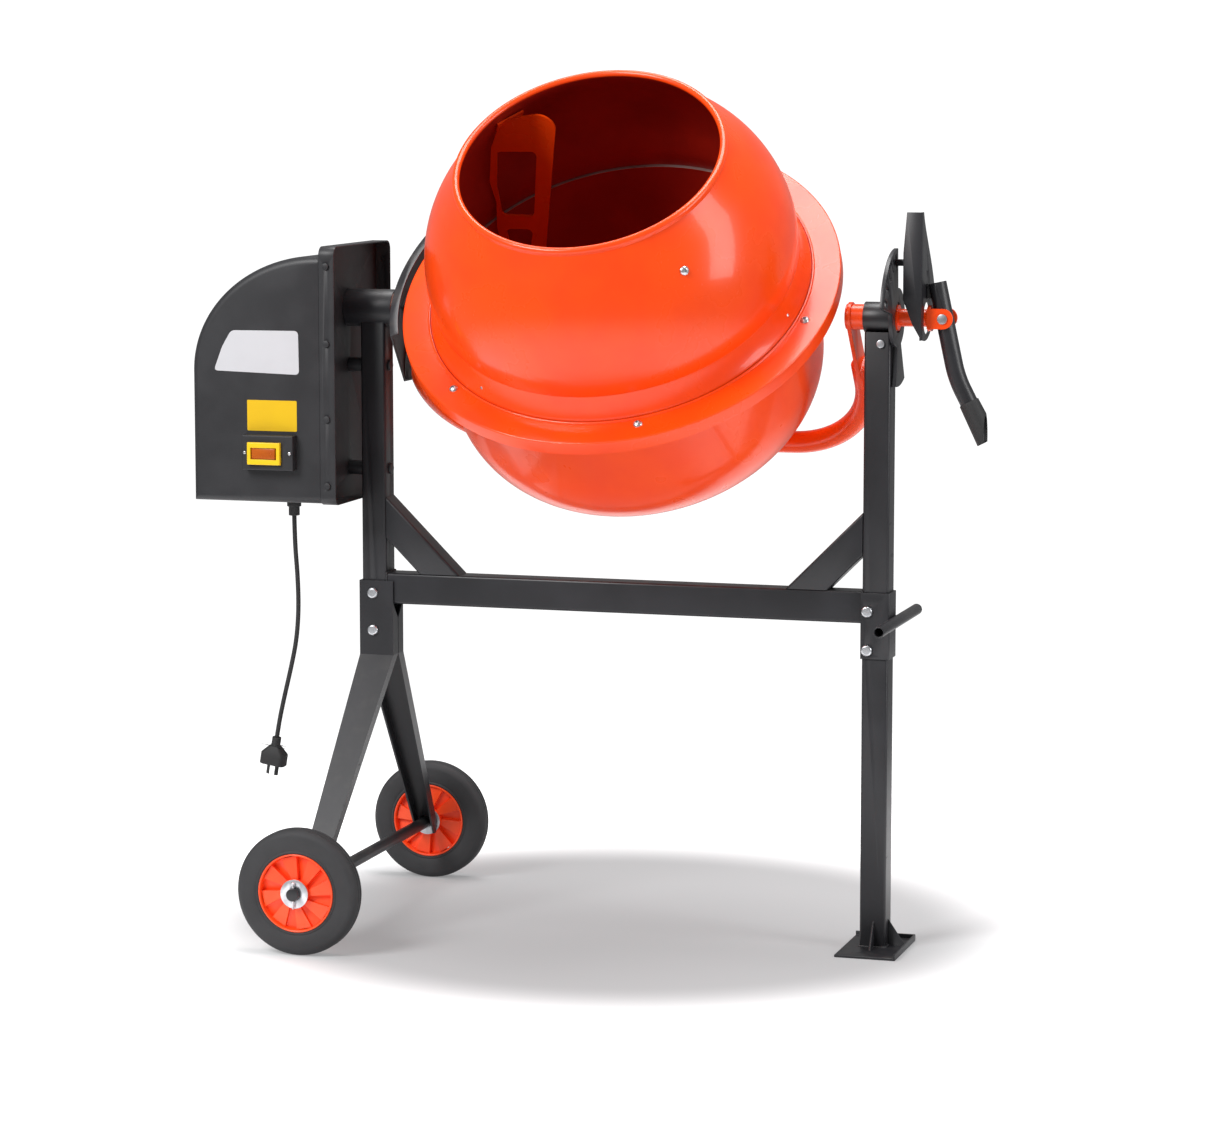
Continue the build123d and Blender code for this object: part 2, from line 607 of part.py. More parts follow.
def motor_bracket():
    """A plate on the motor's face, stood off from the tray by four pillars."""
    face = MOTOR_X[1]
    plate = block((face, face + PLATE), (-68, 68), (MOTOR_Z - 68, MOTOR_Z + 68))
    plate -= rod_x(MOTOR_SHAFT_RADIUS + 3, (face - 1, face + PLATE + 1), 0, MOTOR_Z)
    for y in (-58, 58):
        for z in (MOTOR_Z - 58, MOTOR_Z + 58):
            plate += rod_x(6.0, (face + PLATE, TRAY_X[0]), y, z)
    return plate


def capacitor():
    radius = 18.0
    z = COVER_LOW + COVER_WALL + radius
    can = rod(radius, (-620.0, -66.0, z), (-560.0, -66.0, z))
    return can + rod(4.0, (-560.0, -66.0, z), (-552.0, -66.0, z))


def belt_loop(offset):
    big = Circle(BIG_PULLEY_PITCH + offset)
    small = Pos(0, MOTOR_Z - TRUNNION_Z) * Circle(MOTOR_PULLEY_PITCH + offset)
    return make_hull(big.edges() + small.edges())


def drive_belt():
    half = BELT_THICK / 2
    loop = belt_loop(half) - belt_loop(-half)
    place = Plane(origin=(BELT_X - BELT_WIDTH / 2, 0, TRUNNION_Z), x_dir=(0, 1, 0), z_dir=(1, 0, 0))
    return extrude(place * loop, BELT_WIDTH)


def pulley(pitch, z, bore):
    """A grooved wheel for the belt."""
    half = PULLEY_WIDTH / 2
    wheel = rod_x(pitch + BELT_THICK / 2 + 1, (BELT_X - half, BELT_X + half), 0, z)
    groove_half = BELT_WIDTH / 2 + GAP
    bottom = pitch - BELT_THICK / 2 - GAP
    groove = pipe_x(pitch + 20, bottom, (BELT_X - groove_half, BELT_X + groove_half), 0, z)
    return wheel - groove - rod_x(bore, (BELT_X - half - 1, BELT_X + half + 1), 0, z)


def drive_pulley():
    wheel = pulley(BIG_PULLEY_PITCH, TRUNNION_Z, SHAFT_RADIUS)
    half = PULLEY_WIDTH / 2
    for index in range(5):
        y, z, _ = polar(42.0, 72 * index + 90)
        wheel -= rod_x(13.0, (BELT_X - half - 1, BELT_X + half + 1), y, TRUNNION_Z + z)
    return wheel


def motor_pulley():
    return pulley(MOTOR_PULLEY_PITCH, MOTOR_Z, MOTOR_SHAFT_RADIUS)


def motor_shaft():
    return rod_x(MOTOR_SHAFT_RADIUS, (MOTOR_X[0] + 22, BELT_X + PULLEY_WIDTH / 2), 0, MOTOR_Z)


def pinion_shaft():
    low, high = BELT_X - PULLEY_WIDTH / 2 - 3, PINION_X + GEAR_FACE / 2
    return rod_x(SHAFT_RADIUS, (low, high))


def pinion_tooth():
    slope = tan(radians(PRESSURE_ANGLE))
    tip, root = PINION_RADIUS + ADDENDUM, PINION_RADIUS - PINION_ROOT
    root_half = TOOTH_HALF + PINION_ROOT * 0.6 * slope
    tip_half = TOOTH_HALF - ADDENDUM * 1.25 * slope
    low = PINION_X - GEAR_FACE / 2
    corners = [(low, root_half, root - 1), (low, TOOTH_HALF, PINION_RADIUS), (low, tip_half, tip),
               (low, -tip_half, tip), (low, -TOOTH_HALF, PINION_RADIUS), (low, -root_half, root - 1)]
    return slab(corners, (GEAR_FACE, 0, 0))


def pinion_gear():
    low, high = PINION_X - GEAR_FACE / 2, PINION_X + GEAR_FACE / 2
    gear = rod(PINION_RADIUS - PINION_ROOT, (low, 0, 0), (high, 0, 0))
    tooth = pinion_tooth()
    for index in range(PINION_TEETH):
        gear += Rot(360 / PINION_TEETH * (index + 0.5), 0, 0) * tooth
    gear -= rod(SHAFT_RADIUS, (low - 1, 0, 0), (high + 1, 0, 0))
    return DRUM_PLACE * gear


# ---- Cord ----
def cable_gland():
    x, y = GLAND
    body = rod(11.0, (x, y, GLAND_FOOT + 14), (x, y, COVER_LOW))
    body += rod(8.0, (x, y, COVER_LOW), (x, y, COVER_LOW + COVER_WALL + 6))
    body += rod(8.5, (x, y, GLAND_FOOT), (x, y, GLAND_FOOT + 14))
    return body - rod(CORD_RADIUS, (x, y, GLAND_FOOT - 1), (x, y, COVER_LOW + 20))


def corner_radii():
    """The largest smooth bend that each corner of the cord's route has room for."""
    radii = []
    for a, b, c in zip(CORD_ROUTE, CORD_ROUTE[1:], CORD_ROUTE[2:]):
        before, after = Vector(*b) - Vector(*a), Vector(*c) - Vector(*b)
        half_turn = radians(before.get_angle(after)) / 2
        radii.append(0.45 * min(before.length, after.length) / tan(half_turn))
    return radii


def power_cord():
    radii = corner_radii()
    print("cord corner radii", [round(r) for r in radii])
    path = FilletPolyline(*CORD_ROUTE, radius=radii)
    start = Plane(origin=CORD_ROUTE[0], z_dir=Vector(*CORD_ROUTE[1]) - Vector(*CORD_ROUTE[0]))
    tube = sweep(start * Circle(CORD_RADIUS), path=path)
    expected = pi * CORD_RADIUS ** 2 * path.length
    print("cord length", round(path.length, 1), "volume", round(tube.volume), "expected", round(expected))
    return tube


def plug():
    """A moulded plug with a tapered neck and two flat pins, along the cord's last direction."""
    end, before = Vector(*CORD_ROUTE[-1]), Vector(*CORD_ROUTE[-2])
    place = Plane(origin=end, x_dir=(1, 0, 0), z_dir=end - before)
    neck = extrude(place * Circle(7.0), 16)
    body = loft([place.offset(14) * RectangleRounded(18, 14, 5),
                 place.offset(26) * RectangleRounded(40, 26, 8)])
    body += extrude(place.offset(26) * RectangleRounded(40, 26, 8), 18)
    for x, lean in ((-7.0, 30), (7.0, -30)):
        body += extrude(place.offset(44) * Pos(x, 0) * Rot(0, 0, lean) * Rectangle(6.3, 1.6), 17)
    return neck + body


# ---- Yoke, made in the drum's own frame ----
def strap(side):
    """The flat arm that joins a trunnion to the yoke tube."""
    inner = YOKE_HALF - STRAP_THICK
    half = STRAP_WIDTH / 2
    plate = block((inner, YOKE_HALF), (-half, half), (STRAP_FOOT_S, 0))
    plate += rod(half, (inner, 0, 0), (YOKE_HALF, 0, 0))
    bore = LEFT_TRUNNION_BORE if side < 0 else RIGHT_TRUNNION_RADIUS
    plate -= rod(bore, (inner - 1, 0, 0), (YOKE_HALF + 1, 0, 0))
    return plate if side > 0 else mirror(plate, about=Plane.YZ)


def bow_path(top):
    corners = [(YOKE_HALF, 0, top), (YOKE_HALF, 0, YOKE_BOTTOM_S), (-YOKE_HALF, 0, YOKE_BOTTOM_S),
               (-YOKE_HALF, 0, top)]
    return FilletPolyline(*corners, radius=YOKE_CORNER)


def yoke_bow():
    """The bent tube under the drum, with its two straps."""
    section = Plane(origin=(YOKE_HALF, 0, YOKE_TUBE_TOP_S), z_dir=(0, 0, -1))
    bow = sweep(section * Circle(YOKE_TUBE_RADIUS), path=bow_path(YOKE_TUBE_TOP_S))
    inner_top = YOKE_TUBE_TOP_S - YOKE_TUBE_WALL
    inner_section = Plane(origin=(YOKE_HALF, 0, inner_top), z_dir=(0, 0, -1))
    hollow = sweep(inner_section * Circle(YOKE_TUBE_RADIUS - YOKE_TUBE_WALL), path=bow_path(inner_top))
    bow = bow - hollow + strap(1) + strap(-1)
    bow -= Pos(DRUM_X, 0, 0) * rod(HUB_OUTER, (0, 0, HUB_S[0]), (0, 0, HUB_S[1]))
    return DRUM_PLACE * bow


def bearing_hub():
    hub = pipe(HUB_OUTER, SPINDLE_RADIUS + 3, (0, 0, HUB_S[0]), (0, 0, HUB_S[1]))
    for low, high in bearing_limits():
        hub -= rod(BEARING_OUTER, (0, 0, low), (0, 0, high))
    return on_drum(hub)


def bearing_limits():
    depth = 13.0
    return ((HUB_S[0], HUB_S[0] + depth), (HUB_S[1] - depth, HUB_S[1]))


def drum_bearings():
    rings = [pipe(BEARING_OUTER, SPINDLE_RADIUS + FIT, (0, 0, low + 0.5), (0, 0, high - 0.5))
             for low, high in bearing_limits()]
    return Compound(children=[on_drum(ring) for ring in rings])


def right_trunnion():
    """Stub axle on the right: journal, thin neck and the fork that holds the lever."""
    x0 = YOKE_HALF - STRAP_THICK - 3
    journal = rod_x(RIGHT_TRUNNION_RADIUS, (x0, QUADRANT_X[1] + 1))
    stub = rod_x(STUB_RADIUS, (QUADRANT_X[1] + 1, FORK_DISC_X[0]))
    disc = rod_x(FORK_REACH, FORK_DISC_X)
    fork = journal + stub + disc
    for side in (-1, 1):
        near, far = side * FORK_HALF_GAP, side * FORK_REACH
        y = (min(near, far), max(near, far))
        ear = block((FORK_DISC_X[0] + 1, HUB_X), y, (TRUNNION_Z - EAR_RADIUS, TRUNNION_Z + EAR_RADIUS))
        ear += rod(EAR_RADIUS, (HUB_X, y[0], TRUNNION_Z), (HUB_X, y[1], TRUNNION_Z))
        fork += ear
    reach = FORK_REACH + 1
    return fork - rod(PIN_RADIUS, (HUB_X, -reach, TRUNNION_Z), (HUB_X, reach, TRUNNION_Z))


def left_trunnion():
    return pipe_x(LEFT_TRUNNION_RADIUS, LEFT_TRUNNION_BORE, (LEFT_SLEEVE_X[0] + 2, -YOKE_HALF))


def pinion_bushes():
    rings = []
    for start in (LEFT_SLEEVE_X[0] + 4, -YOKE_HALF - 18):
        rings.append(pipe_x(LEFT_TRUNNION_BORE, SHAFT_RADIUS + FIT, (start, start + 16)))
    return Compound(children=rings)


def pinion_guard():
    """The curved channel over the pinion and the edge of the crown gear."""
    low, high = GUARD_S
    inner = GUARD_RADIUS - GUARD_WALL
    lip = GUARD_RADIUS - GUARD_FLANGE
    ring = turned([(lip, low), (GUARD_RADIUS, low), (GUARD_RADIUS, high), (lip, high),
                   (lip, high - GUARD_WALL), (inner, high - GUARD_WALL), (inner, low + GUARD_WALL),
                   (lip, low + GUARD_WALL)])
    edge = 500 * tan(radians(GUARD_SPAN))
    wedge = slab([(0, 0, low - 1), (-500, -edge, low - 1), (-500, edge, low - 1)], (0, 0, high - low + 2))
    guard = ring & wedge
    pad = block((-GUARD_RADIUS, -GUARD_RADIUS + GUARD_WALL + 1), (-20, 20), (-20, 20))
    guard += pad
    guard -= rod(SHAFT_RADIUS + 3, (-GUARD_RADIUS - 5, 0, 0), (-GUARD_RADIUS + 20, 0, 0))
    return on_drum(guard)


# ---- Tilt lever ----
def lever_path(start, end):
    corners = [(x, 0, z) for x, z in (start, LEVER_KNEE, end)]
    return FilletPolyline(*corners, radius=LEVER_BEND)


def lever_tube():
    start = Vector(LEVER_TOP[0], 0, LEVER_TOP[1])
    knee = Vector(LEVER_KNEE[0], 0, LEVER_KNEE[1])
    section = Plane(origin=start, z_dir=knee - start)
    path = lever_path(LEVER_TOP, LEVER_END)
    tube = sweep(section * Circle(LEVER_RADIUS), path=path) - sweep(section * Circle(LEVER_BORE), path=path)
    boss = rod(9.0, (HUB_X, -LEVER_RADIUS, TRUNNION_Z), (HUB_X, LEVER_RADIUS, TRUNNION_Z))
    hole = rod(PIN_RADIUS + FIT, (HUB_X, -30, TRUNNION_Z), (HUB_X, 30, TRUNNION_Z))
    lever = tube + boss - hole
    return lever - block((LEVER_CUT_X - 4, LEVER_CUT_X + 60), (-40, 40), LEVER_CUT_Z)


def lever_grip():
    """Rubber sleeve on the lower part of the lever, with an oblique closed end."""
    knee, end = Vector(LEVER_KNEE[0], 0, LEVER_KNEE[1]), Vector(LEVER_END[0], 0, LEVER_END[1])
    along = (end - knee).normalized()
    first = knee + along * ((LEVER_KNEE[1] - GRIP_START_Z + 20) / -along.Z)
    sleeve = loft([Plane(origin=first, z_dir=along) * Circle(GRIP_RADIUS),
                   Plane(origin=end, z_dir=along) * Circle(GRIP_RADIUS + 2)])
    return sleeve - rod(LEVER_RADIUS, first - along * 5, end + along * 5) - block(
        (LEVER_CUT_X, LEVER_CUT_X + 60), (-40, 40), LEVER_CUT_Z)


def lever_pin():
    """The pin through fork and lever; its far end also carries the spring."""
    near, far = -FORK_REACH, FORK_REACH + SPRING_ROOM
    head = PIN_RADIUS + 2.5
    pin = rod(PIN_RADIUS, (HUB_X, near, TRUNNION_Z), (HUB_X, far, TRUNNION_Z))
    pin += rod(head, (HUB_X, near - 3, TRUNNION_Z), (HUB_X, near, TRUNNION_Z))
    return pin + rod(head, (HUB_X, far, TRUNNION_Z), (HUB_X, far + 3, TRUNNION_Z))


def lever_channel():
    """The pressed fin that carries the locking tooth, welded to the lever's top by a rib."""
    x0, x1 = CHANNEL_X
    y0, y1 = CHANNEL_Y
    z0, z1 = CHANNEL_Z
    edge = Spline((x1, y0 + 14, z1), (x1, y1 - 22, z1 - 80), (x1, y1, TRUNNION_Z + 15),
                  (x1, y1 - 22, z0 + 14), (x1, y0 + 14, z0))
    rest = Polyline((x1, y0 + 14, z0), (x1, y0, z0), (x1, y0, z1), (x1, y0 + 14, z1))
    web = extrude(make_face(edge + rest), amount=PLATE, dir=(-1, 0, 0))
    web -= rod_x(STUB_HOLE, (x0, x1 + 1))
    front = [(x1, y0, z0), (x0 + 14, y0, z0 + 24), (x0, y0, z0 + 60), (x0, y0, z1 - 60),
             (x0 + 5, y0, z1), (x1, y0, z1)]
    channel = web + slab(front, (0, PLATE, 0))
    tooth_y, tooth_z, _ = polar(TOOTH_RADIUS, QUADRANT_NOTCHES[0])
    tooth_z += TRUNNION_Z
    tooth = block((QUADRANT_X[0] + 1, x1 - PLATE), (tooth_y - 2, tooth_y + 2), (tooth_z - 5, tooth_z + 5))
    channel += tooth + block((x0, x1 - PLATE), (y0, tooth_y + 2), (tooth_z - 1, tooth_z + 5))
    rib_top = LEVER_TOP[1] - 2
    rib = block((x1 - 1, LEVER_TOP[0]), (-2.5, 2.5), (rib_top - 22, rib_top))
    start = Vector(LEVER_TOP[0], 0, LEVER_TOP[1])
    away = (start - Vector(LEVER_KNEE[0], 0, LEVER_KNEE[1])).normalized() * 20
    beyond, below = start + away, start - away * 3
    return channel + rib - rod(LEVER_RADIUS, beyond, below)


def lever_spring():
    """Torsion spring on the pin, beside the fork."""
    coil = Helix(pitch=2.6, height=SPRING_ROOM - 4 * SPRING_WIRE, radius=PIN_RADIUS + SPRING_WIRE + 0.3)
    section = Plane(origin=coil @ 0, z_dir=coil % 0) * Circle(SPRING_WIRE)
    spring = sweep(section, path=coil, is_frenet=True)
    end = FORK_REACH + SPRING_ROOM - 2 * SPRING_WIRE
    return Pos(HUB_X, end, TRUNNION_Z) * Rot(90, 0, 0) * spring


# ---- Drum, made in its own frame ----
def on_belly(angle, depth=0.0):
    """A point of the belly's arc, some depth under its outer face."""
    curve = BELLY_CURVE - depth
    height = BELLY_S + curve * sin(radians(angle))
    return Vector(BELLY_RADIUS - BELLY_CURVE + curve * cos(radians(angle)), 0, height)


def upper_outline():
    """The drum's upper shell in (radius, height), outside face."""
    foot = FLANGE_TOP_S - SHEET
    flare = ThreePointArc((FLANGE_BEAD_RADIUS - 1, 0, foot), (283, 0, 68), (NECK_RADIUS, 0, NECK_S))
    neck = Line((NECK_RADIUS, 0, NECK_S), (BELLY_RADIUS, 0, BELLY_S))
    belly = ThreePointArc(on_belly(0), on_belly(BELLY_TURN / 2), on_belly(BELLY_TURN))
    cone = Polyline(on_belly(BELLY_TURN), (MOUTH_RADIUS, 0, MOUTH_S), (0, 0, MOUTH_S), (0, 0, foot),
                    (FLANGE_BEAD_RADIUS - 1, 0, foot))
    return make_face(flare + neck + belly + cone)


def upper_drum():
    """The upper shell: flared foot with a flange and skirt, a belly, a cone and a rolled mouth."""
    solid = revolve(upper_outline(), Axis.Z)
    ends = [f for f in solid.faces() if f.geom_type == GeomType.PLANE]
    shell = offset(solid, amount=-SHEET, openings=ends, kind=Kind.INTERSECTION)
    foot = FLANGE_TOP_S - SHEET
    skirt_s = FLANGE_TOP_S - FLANGE_LIP
    flange = turned([(FLANGE_BEAD_RADIUS - 5, foot), (FLANGE_RADIUS - SHEET, foot),
                     (FLANGE_RADIUS - SHEET, skirt_s), (FLANGE_RADIUS, skirt_s),
                     (FLANGE_RADIUS, FLANGE_TOP_S), (FLANGE_BEAD_RADIUS - 5, FLANGE_TOP_S)])
    flange = fillet(flange.edges().group_by(Axis.Z)[-1].sort_by(SortBy.RADIUS)[-1], 2.0)
    bead = Pos(0, 0, FLANGE_TOP_S) * Torus(FLANGE_BEAD_RADIUS, 2.5)
    bead &= Pos(0, 0, FLANGE_TOP_S + 9) * Cylinder(400, 20)
    mouth = Pos(0, 0, MOUTH_S) * Torus(MOUTH_RADIUS - 1, MOUTH_BEAD)
    drum = shell + flange + bead + mouth
    for angle in bolt_angles():
        x, y, _ = polar(DRUM_BOLT_CIRCLE, angle)
        drum -= rod(4.0 + FIT, (x, y, foot - 1), (x, y, FLANGE_TOP_S + 1))
    for side in (0, 180):
        drum -= Rot(0, 0, BLADE_ANGLE + BLADE_BOLT_TURN + side) * blade_hole()
    return on_drum(drum)


def bolt_angles():
    return [DRUM_BOLT_FIRST + 360 / DRUM_BOLTS * index for index in range(DRUM_BOLTS)]


def lower_outline(inset):
    """The bowl in (radius, height): a straight wall, a quarter round and a flat bottom."""
    radius, corner = BOWL_RADIUS - inset, BOWL_CORNER - inset
    bottom = BOWL_BOTTOM_S + inset
    centre = (radius - corner, bottom + corner)
    middle = (centre[0] + corner * cos(radians(45)), centre[1] - corner * sin(radians(45)))
    arc = ThreePointArc((radius, 0, centre[1]), (middle[0], 0, middle[1]), (centre[0], 0, bottom))
    rest = Polyline((centre[0], 0, bottom), (0, 0, bottom), (0, 0, LOWER_FLANGE_S),
                    (radius, 0, LOWER_FLANGE_S), (radius, 0, centre[1]))
    return make_face(arc + rest)


def lower_drum():
    bowl = revolve(lower_outline(0), Axis.Z) - revolve(lower_outline(SHEET), Axis.Z)
    bowl += turned([(BOWL_RADIUS - 1, RING_TOP_S), (LOWER_FLANGE_RADIUS, RING_TOP_S),
                    (LOWER_FLANGE_RADIUS, LOWER_FLANGE_S), (BOWL_RADIUS - 1, LOWER_FLANGE_S)])
    for angle in bolt_angles():
        x, y, _ = polar(DRUM_BOLT_CIRCLE, angle)
        bowl -= rod(4.0 + FIT, (x, y, RING_TOP_S - 1), (x, y, LOWER_FLANGE_S + 1))
    return on_drum(bowl)


def drum_seal():
    foot = FLANGE_TOP_S - SHEET
    return on_drum(turned([(BOWL_RADIUS, LOWER_FLANGE_S), (DRUM_BOLT_CIRCLE - 7, LOWER_FLANGE_S),
                           (DRUM_BOLT_CIRCLE - 7, foot), (BOWL_RADIUS, foot)]))


def ring_tooth():
    slope = tan(radians(PRESSURE_ANGLE))
    tip = PINION_RADIUS - ADDENDUM
    root_half = TOOTH_HALF + RING_ROOT * slope
    tip_half = TOOTH_HALF - ADDENDUM * slope
    x = GEAR_RADIUS - GEAR_FACE / 2
    corners = [(x, root_half, RING_ROOT_S + 0.5), (x, tip_half, tip), (x, -tip_half, tip),
               (x, -root_half, RING_ROOT_S + 0.5)]
    return slab(corners, (GEAR_FACE, 0, 0))


def ring_gear():
    """Crown gear: a flat ring with its teeth on the underside."""
    ring = turned([(GEAR_RADIUS - 12, RING_ROOT_S), (GEAR_RADIUS + 12, RING_ROOT_S),
                   (GEAR_RADIUS + 12, RING_TOP_S), (GEAR_RADIUS - 12, RING_TOP_S)])
    for angle in bolt_angles():
        x, y, _ = polar(DRUM_BOLT_CIRCLE, angle)
        ring -= rod(4.0, (x, y, RING_ROOT_S + 1.5), (x, y, RING_TOP_S + 1))
    tooth = ring_tooth()
    teeth = [Rot(0, 0, 360 / RING_TEETH * index) * tooth for index in range(RING_TEETH)]
    return on_drum(ring + teeth)


def blade_hole():
    """The hole in the belly for a blade's bolt, in the bolt's own plane."""
    return rod(4.0 + FIT, on_belly(BLADE_BOLT_LEAN, 15), on_belly(BLADE_BOLT_LEAN, -15))


def blade_tab():
    """The bent-over tab that a blade is bolted by, in the bolt's own plane."""
    start, end = on_belly(BLADE_BOLT_LEAN, SHEET + 2.5), on_belly(BLADE_BOLT_LEAN, SHEET + 5.5)
    place = Plane(origin=start, x_dir=(0, 1, 0), z_dir=end - start)
    tab = extrude(place * Pos(10, 0) * Rectangle(46, 26), (end - start).length)
    return tab - blade_hole()


def blade_reach(wall):
    """How far along its own plane a blade meets a wall of this radius."""
    return (wall ** 2 - BLADE_OFFSET ** 2) ** 0.5


def blade():
    """A flat mixing paddle with two windows, set off the drum's axis and bolted to its wall."""
    half = BLADE_THICK / 2
    outline = [(194.8, 230.5), (178.5, 250.0), (153.0, 257.0), (118.0, 263.0), (99.0, 243.0),
               (165.0, -4.0), (200.0, -104.0), (228.0, -96.0), (236.0, -60.0), (236.0, 36.0),
               (226.0, 88.0), (228.0, 130.0), (211.0, 198.0)]
    plate = slab([(r, -half, s) for r, s in outline], (0, BLADE_THICK, 0))
    plate = fillet(plate.edges().filter_by(Axis.Y).sort_by(Axis.X)[:2], 22.0)
    upper = [(203.0, 190.0), (140.0, 190.0), (171.0, 60.0), (222.0, 62.0), (219.0, 120.0)]
    lower = [(222.0, 34.0), (178.0, 34.0), (202.0, -46.0), (224.0, -46.0)]
    for window in (upper, lower):
        cut = slab([(r, -half - 1, s) for r, s in window], (0, BLADE_THICK + 2, 0))
        plate -= fillet(cut.edges().filter_by(Axis.Y), 8.0)
    plate = Pos(0, -BLADE_OFFSET, 0) * plate
    inner_wall = BOWL_RADIUS - SHEET
    turn = -degrees(asin(BLADE_OFFSET / inner_wall))
    foot = block((inner_wall - 4.0, inner_wall - 0.3), (-12, 12), (-84, -56))
    foot = Rot(0, 0, turn) * foot
    reach = blade_reach(inner_wall)
    edge = (-BLADE_OFFSET - half, -BLADE_OFFSET + half)
    foot += block((215.0, reach - 2), edge, (-84, -56))
    return plate + foot + Rot(0, 0, BLADE_BOLT_TURN) * blade_tab()


def mixing_blades():
    return Compound(children=[on_drum(Rot(0, 0, BLADE_ANGLE + side) * blade()) for side in (0, 180)])


def drum_bolts():
    """Flange screws that reach down into the crown gear, and the blades' bolts in the cone."""
    bolts = []
    for angle in bolt_angles():
        x, y, _ = polar(DRUM_BOLT_CIRCLE, angle)
        screw = rod(4.0, (x, y, RING_ROOT_S + 2), (x, y, FLANGE_TOP_S))
        head = extrude(Plane(origin=(x, y, FLANGE_TOP_S), z_dir=(0, 0, 1)) * RegularPolygon(7.5, 6), 4.5)
        bolts.append(on_drum(screw + head))
    for side in (0, 180):
        bolt = rod(4.0, on_belly(BLADE_BOLT_LEAN, SHEET + 12), on_belly(BLADE_BOLT_LEAN, -2))
        bolt += rod(7.5, on_belly(BLADE_BOLT_LEAN), on_belly(BLADE_BOLT_LEAN, -4))
        bolt += rod(6.5, on_belly(BLADE_BOLT_LEAN, SHEET + 5.5), on_belly(BLADE_BOLT_LEAN, SHEET + 11))
        bolts.append(on_drum(Rot(0, 0, BLADE_ANGLE + BLADE_BOLT_TURN + side) * bolt))
    return Compound(children=bolts)


def drum_spindle():
    """The spindle under the bowl with its round flange, and the nut that keeps it in the hub."""
    flange = rod(70.0, (0, 0, BOWL_BOTTOM_S - 6), (0, 0, BOWL_BOTTOM_S))
    shaft = rod(SPINDLE_RADIUS, (0, 0, HUB_S[0] - 14), (0, 0, BOWL_BOTTOM_S - 6))
    nut = Plane(origin=(0, 0, HUB_S[0] - 10), z_dir=(0, 0, 1)) * RegularPolygon(23, 6)
    return on_drum(flange + shaft + extrude(nut, 9))


# ---- Wheels ----
def rim(side):
    """Moulded wheel centre with a dished web and slanted ribs."""
    half = WHEEL_WIDTH / 2
    wheel = pipe(RIM_RADIUS, RIM_RADIUS - 5, (0, 0, -half), (0, 0, half))
    wheel += rod(RIM_RADIUS - 4, (0, 0, -3), (0, 0, 3))
    wheel += rod(HUB_RADIUS, (0, 0, -HUB_HALF), (0, 0, HUB_HALF))
    rib = block((HUB_RADIUS - 3, RIM_RADIUS - 3), (-2, 2), (-half + 6, half - 6))
    for index in range(RIM_RIBS):
        wheel += Rot(0, 0, 360 / RIM_RIBS * index) * rib
    wheel -= rod(AXLE_RADIUS + FIT, (0, 0, -HUB_HALF - 1), (0, 0, HUB_HALF + 1))
    return Pos(AXLE_X, side * WHEEL_Y, TYRE_RADIUS) * Rot(90, 0, 0) * wheel


def tyre(side):
    half = WHEEL_WIDTH / 2
    ring = turned([(RIM_RADIUS, -half), (TYRE_RADIUS, -half), (TYRE_RADIUS, half), (RIM_RADIUS, half)])
    circles = ring.edges().filter_by(GeomType.CIRCLE)
    ring = fillet(circles.filter_by(lambda edge: edge.radius > TYRE_RADIUS - 1), 13.0)
    return Pos(AXLE_X, side * WHEEL_Y, TYRE_RADIUS) * Rot(90, 0, 0) * ring


PIECES = {
    "left_post": left_post, "right_post": right_post, "crossbar": crossbar, "braces": braces,
    "right_leg": right_leg, "leg_bracket": leg_bracket, "foot_plate": foot_plate,
    "front_wheel_leg": front_wheel_leg, "rear_wheel_leg": rear_wheel_leg, "axle": axle,
    "axle_washers": axle_washers, "split_pins": split_pins, "lift_handle": lift_handle,
    "frame_bolts": frame_bolts, "left_sleeve": left_sleeve, "right_sleeve": right_sleeve,
    "trunnion_bushes": trunnion_bushes, "locking_plate": locking_plate,
    "housing_tray": housing_tray, "housing_spacers": housing_spacers, "housing_cover": housing_cover,
    "housing_screws": housing_screws, "switch_box": switch_box, "switch_frame": switch_frame,
    "switch_rocker": switch_rocker, "motor_housing": motor_housing, "motor_bracket": motor_bracket,
    "capacitor": capacitor, "drive_belt": drive_belt, "drive_pulley": drive_pulley,
    "motor_pulley": motor_pulley, "motor_shaft": motor_shaft, "pinion_shaft": pinion_shaft,
    "pinion_gear": pinion_gear, "cable_gland": cable_gland, "power_cord": power_cord, "plug": plug,
    "yoke_bow": yoke_bow, "bearing_hub": bearing_hub, "drum_bearings": drum_bearings,
    "right_trunnion": right_trunnion, "left_trunnion": left_trunnion, "pinion_bushes": pinion_bushes,
    "pinion_guard": pinion_guard, "lever_tube": lever_tube, "lever_grip": lever_grip,
    "lever_pin": lever_pin, "lever_channel": lever_channel, "lever_spring": lever_spring,
    "upper_drum": upper_drum, "lower_drum": lower_drum, "drum_seal": drum_seal, "ring_gear": ring_gear,
    "mixing_blades": mixing_blades, "drum_bolts": drum_bolts, "drum_spindle": drum_spindle,
    "front_rim": lambda: rim(-1), "rear_rim": lambda: rim(1),
    "front_tyre": lambda: tyre(-1), "rear_tyre": lambda: tyre(1),
}

os.makedirs("parts", exist_ok=True)
for name, make in PIECES.items():
    export_step(Pos(*ORIGIN) * make(), f"parts/{name}.step")
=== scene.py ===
"""The looks of a tilting-drum concrete mixer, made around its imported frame."""
import json
from math import cos, pi, radians, sin

import bmesh
import bpy
from mathutils import Matrix, Vector


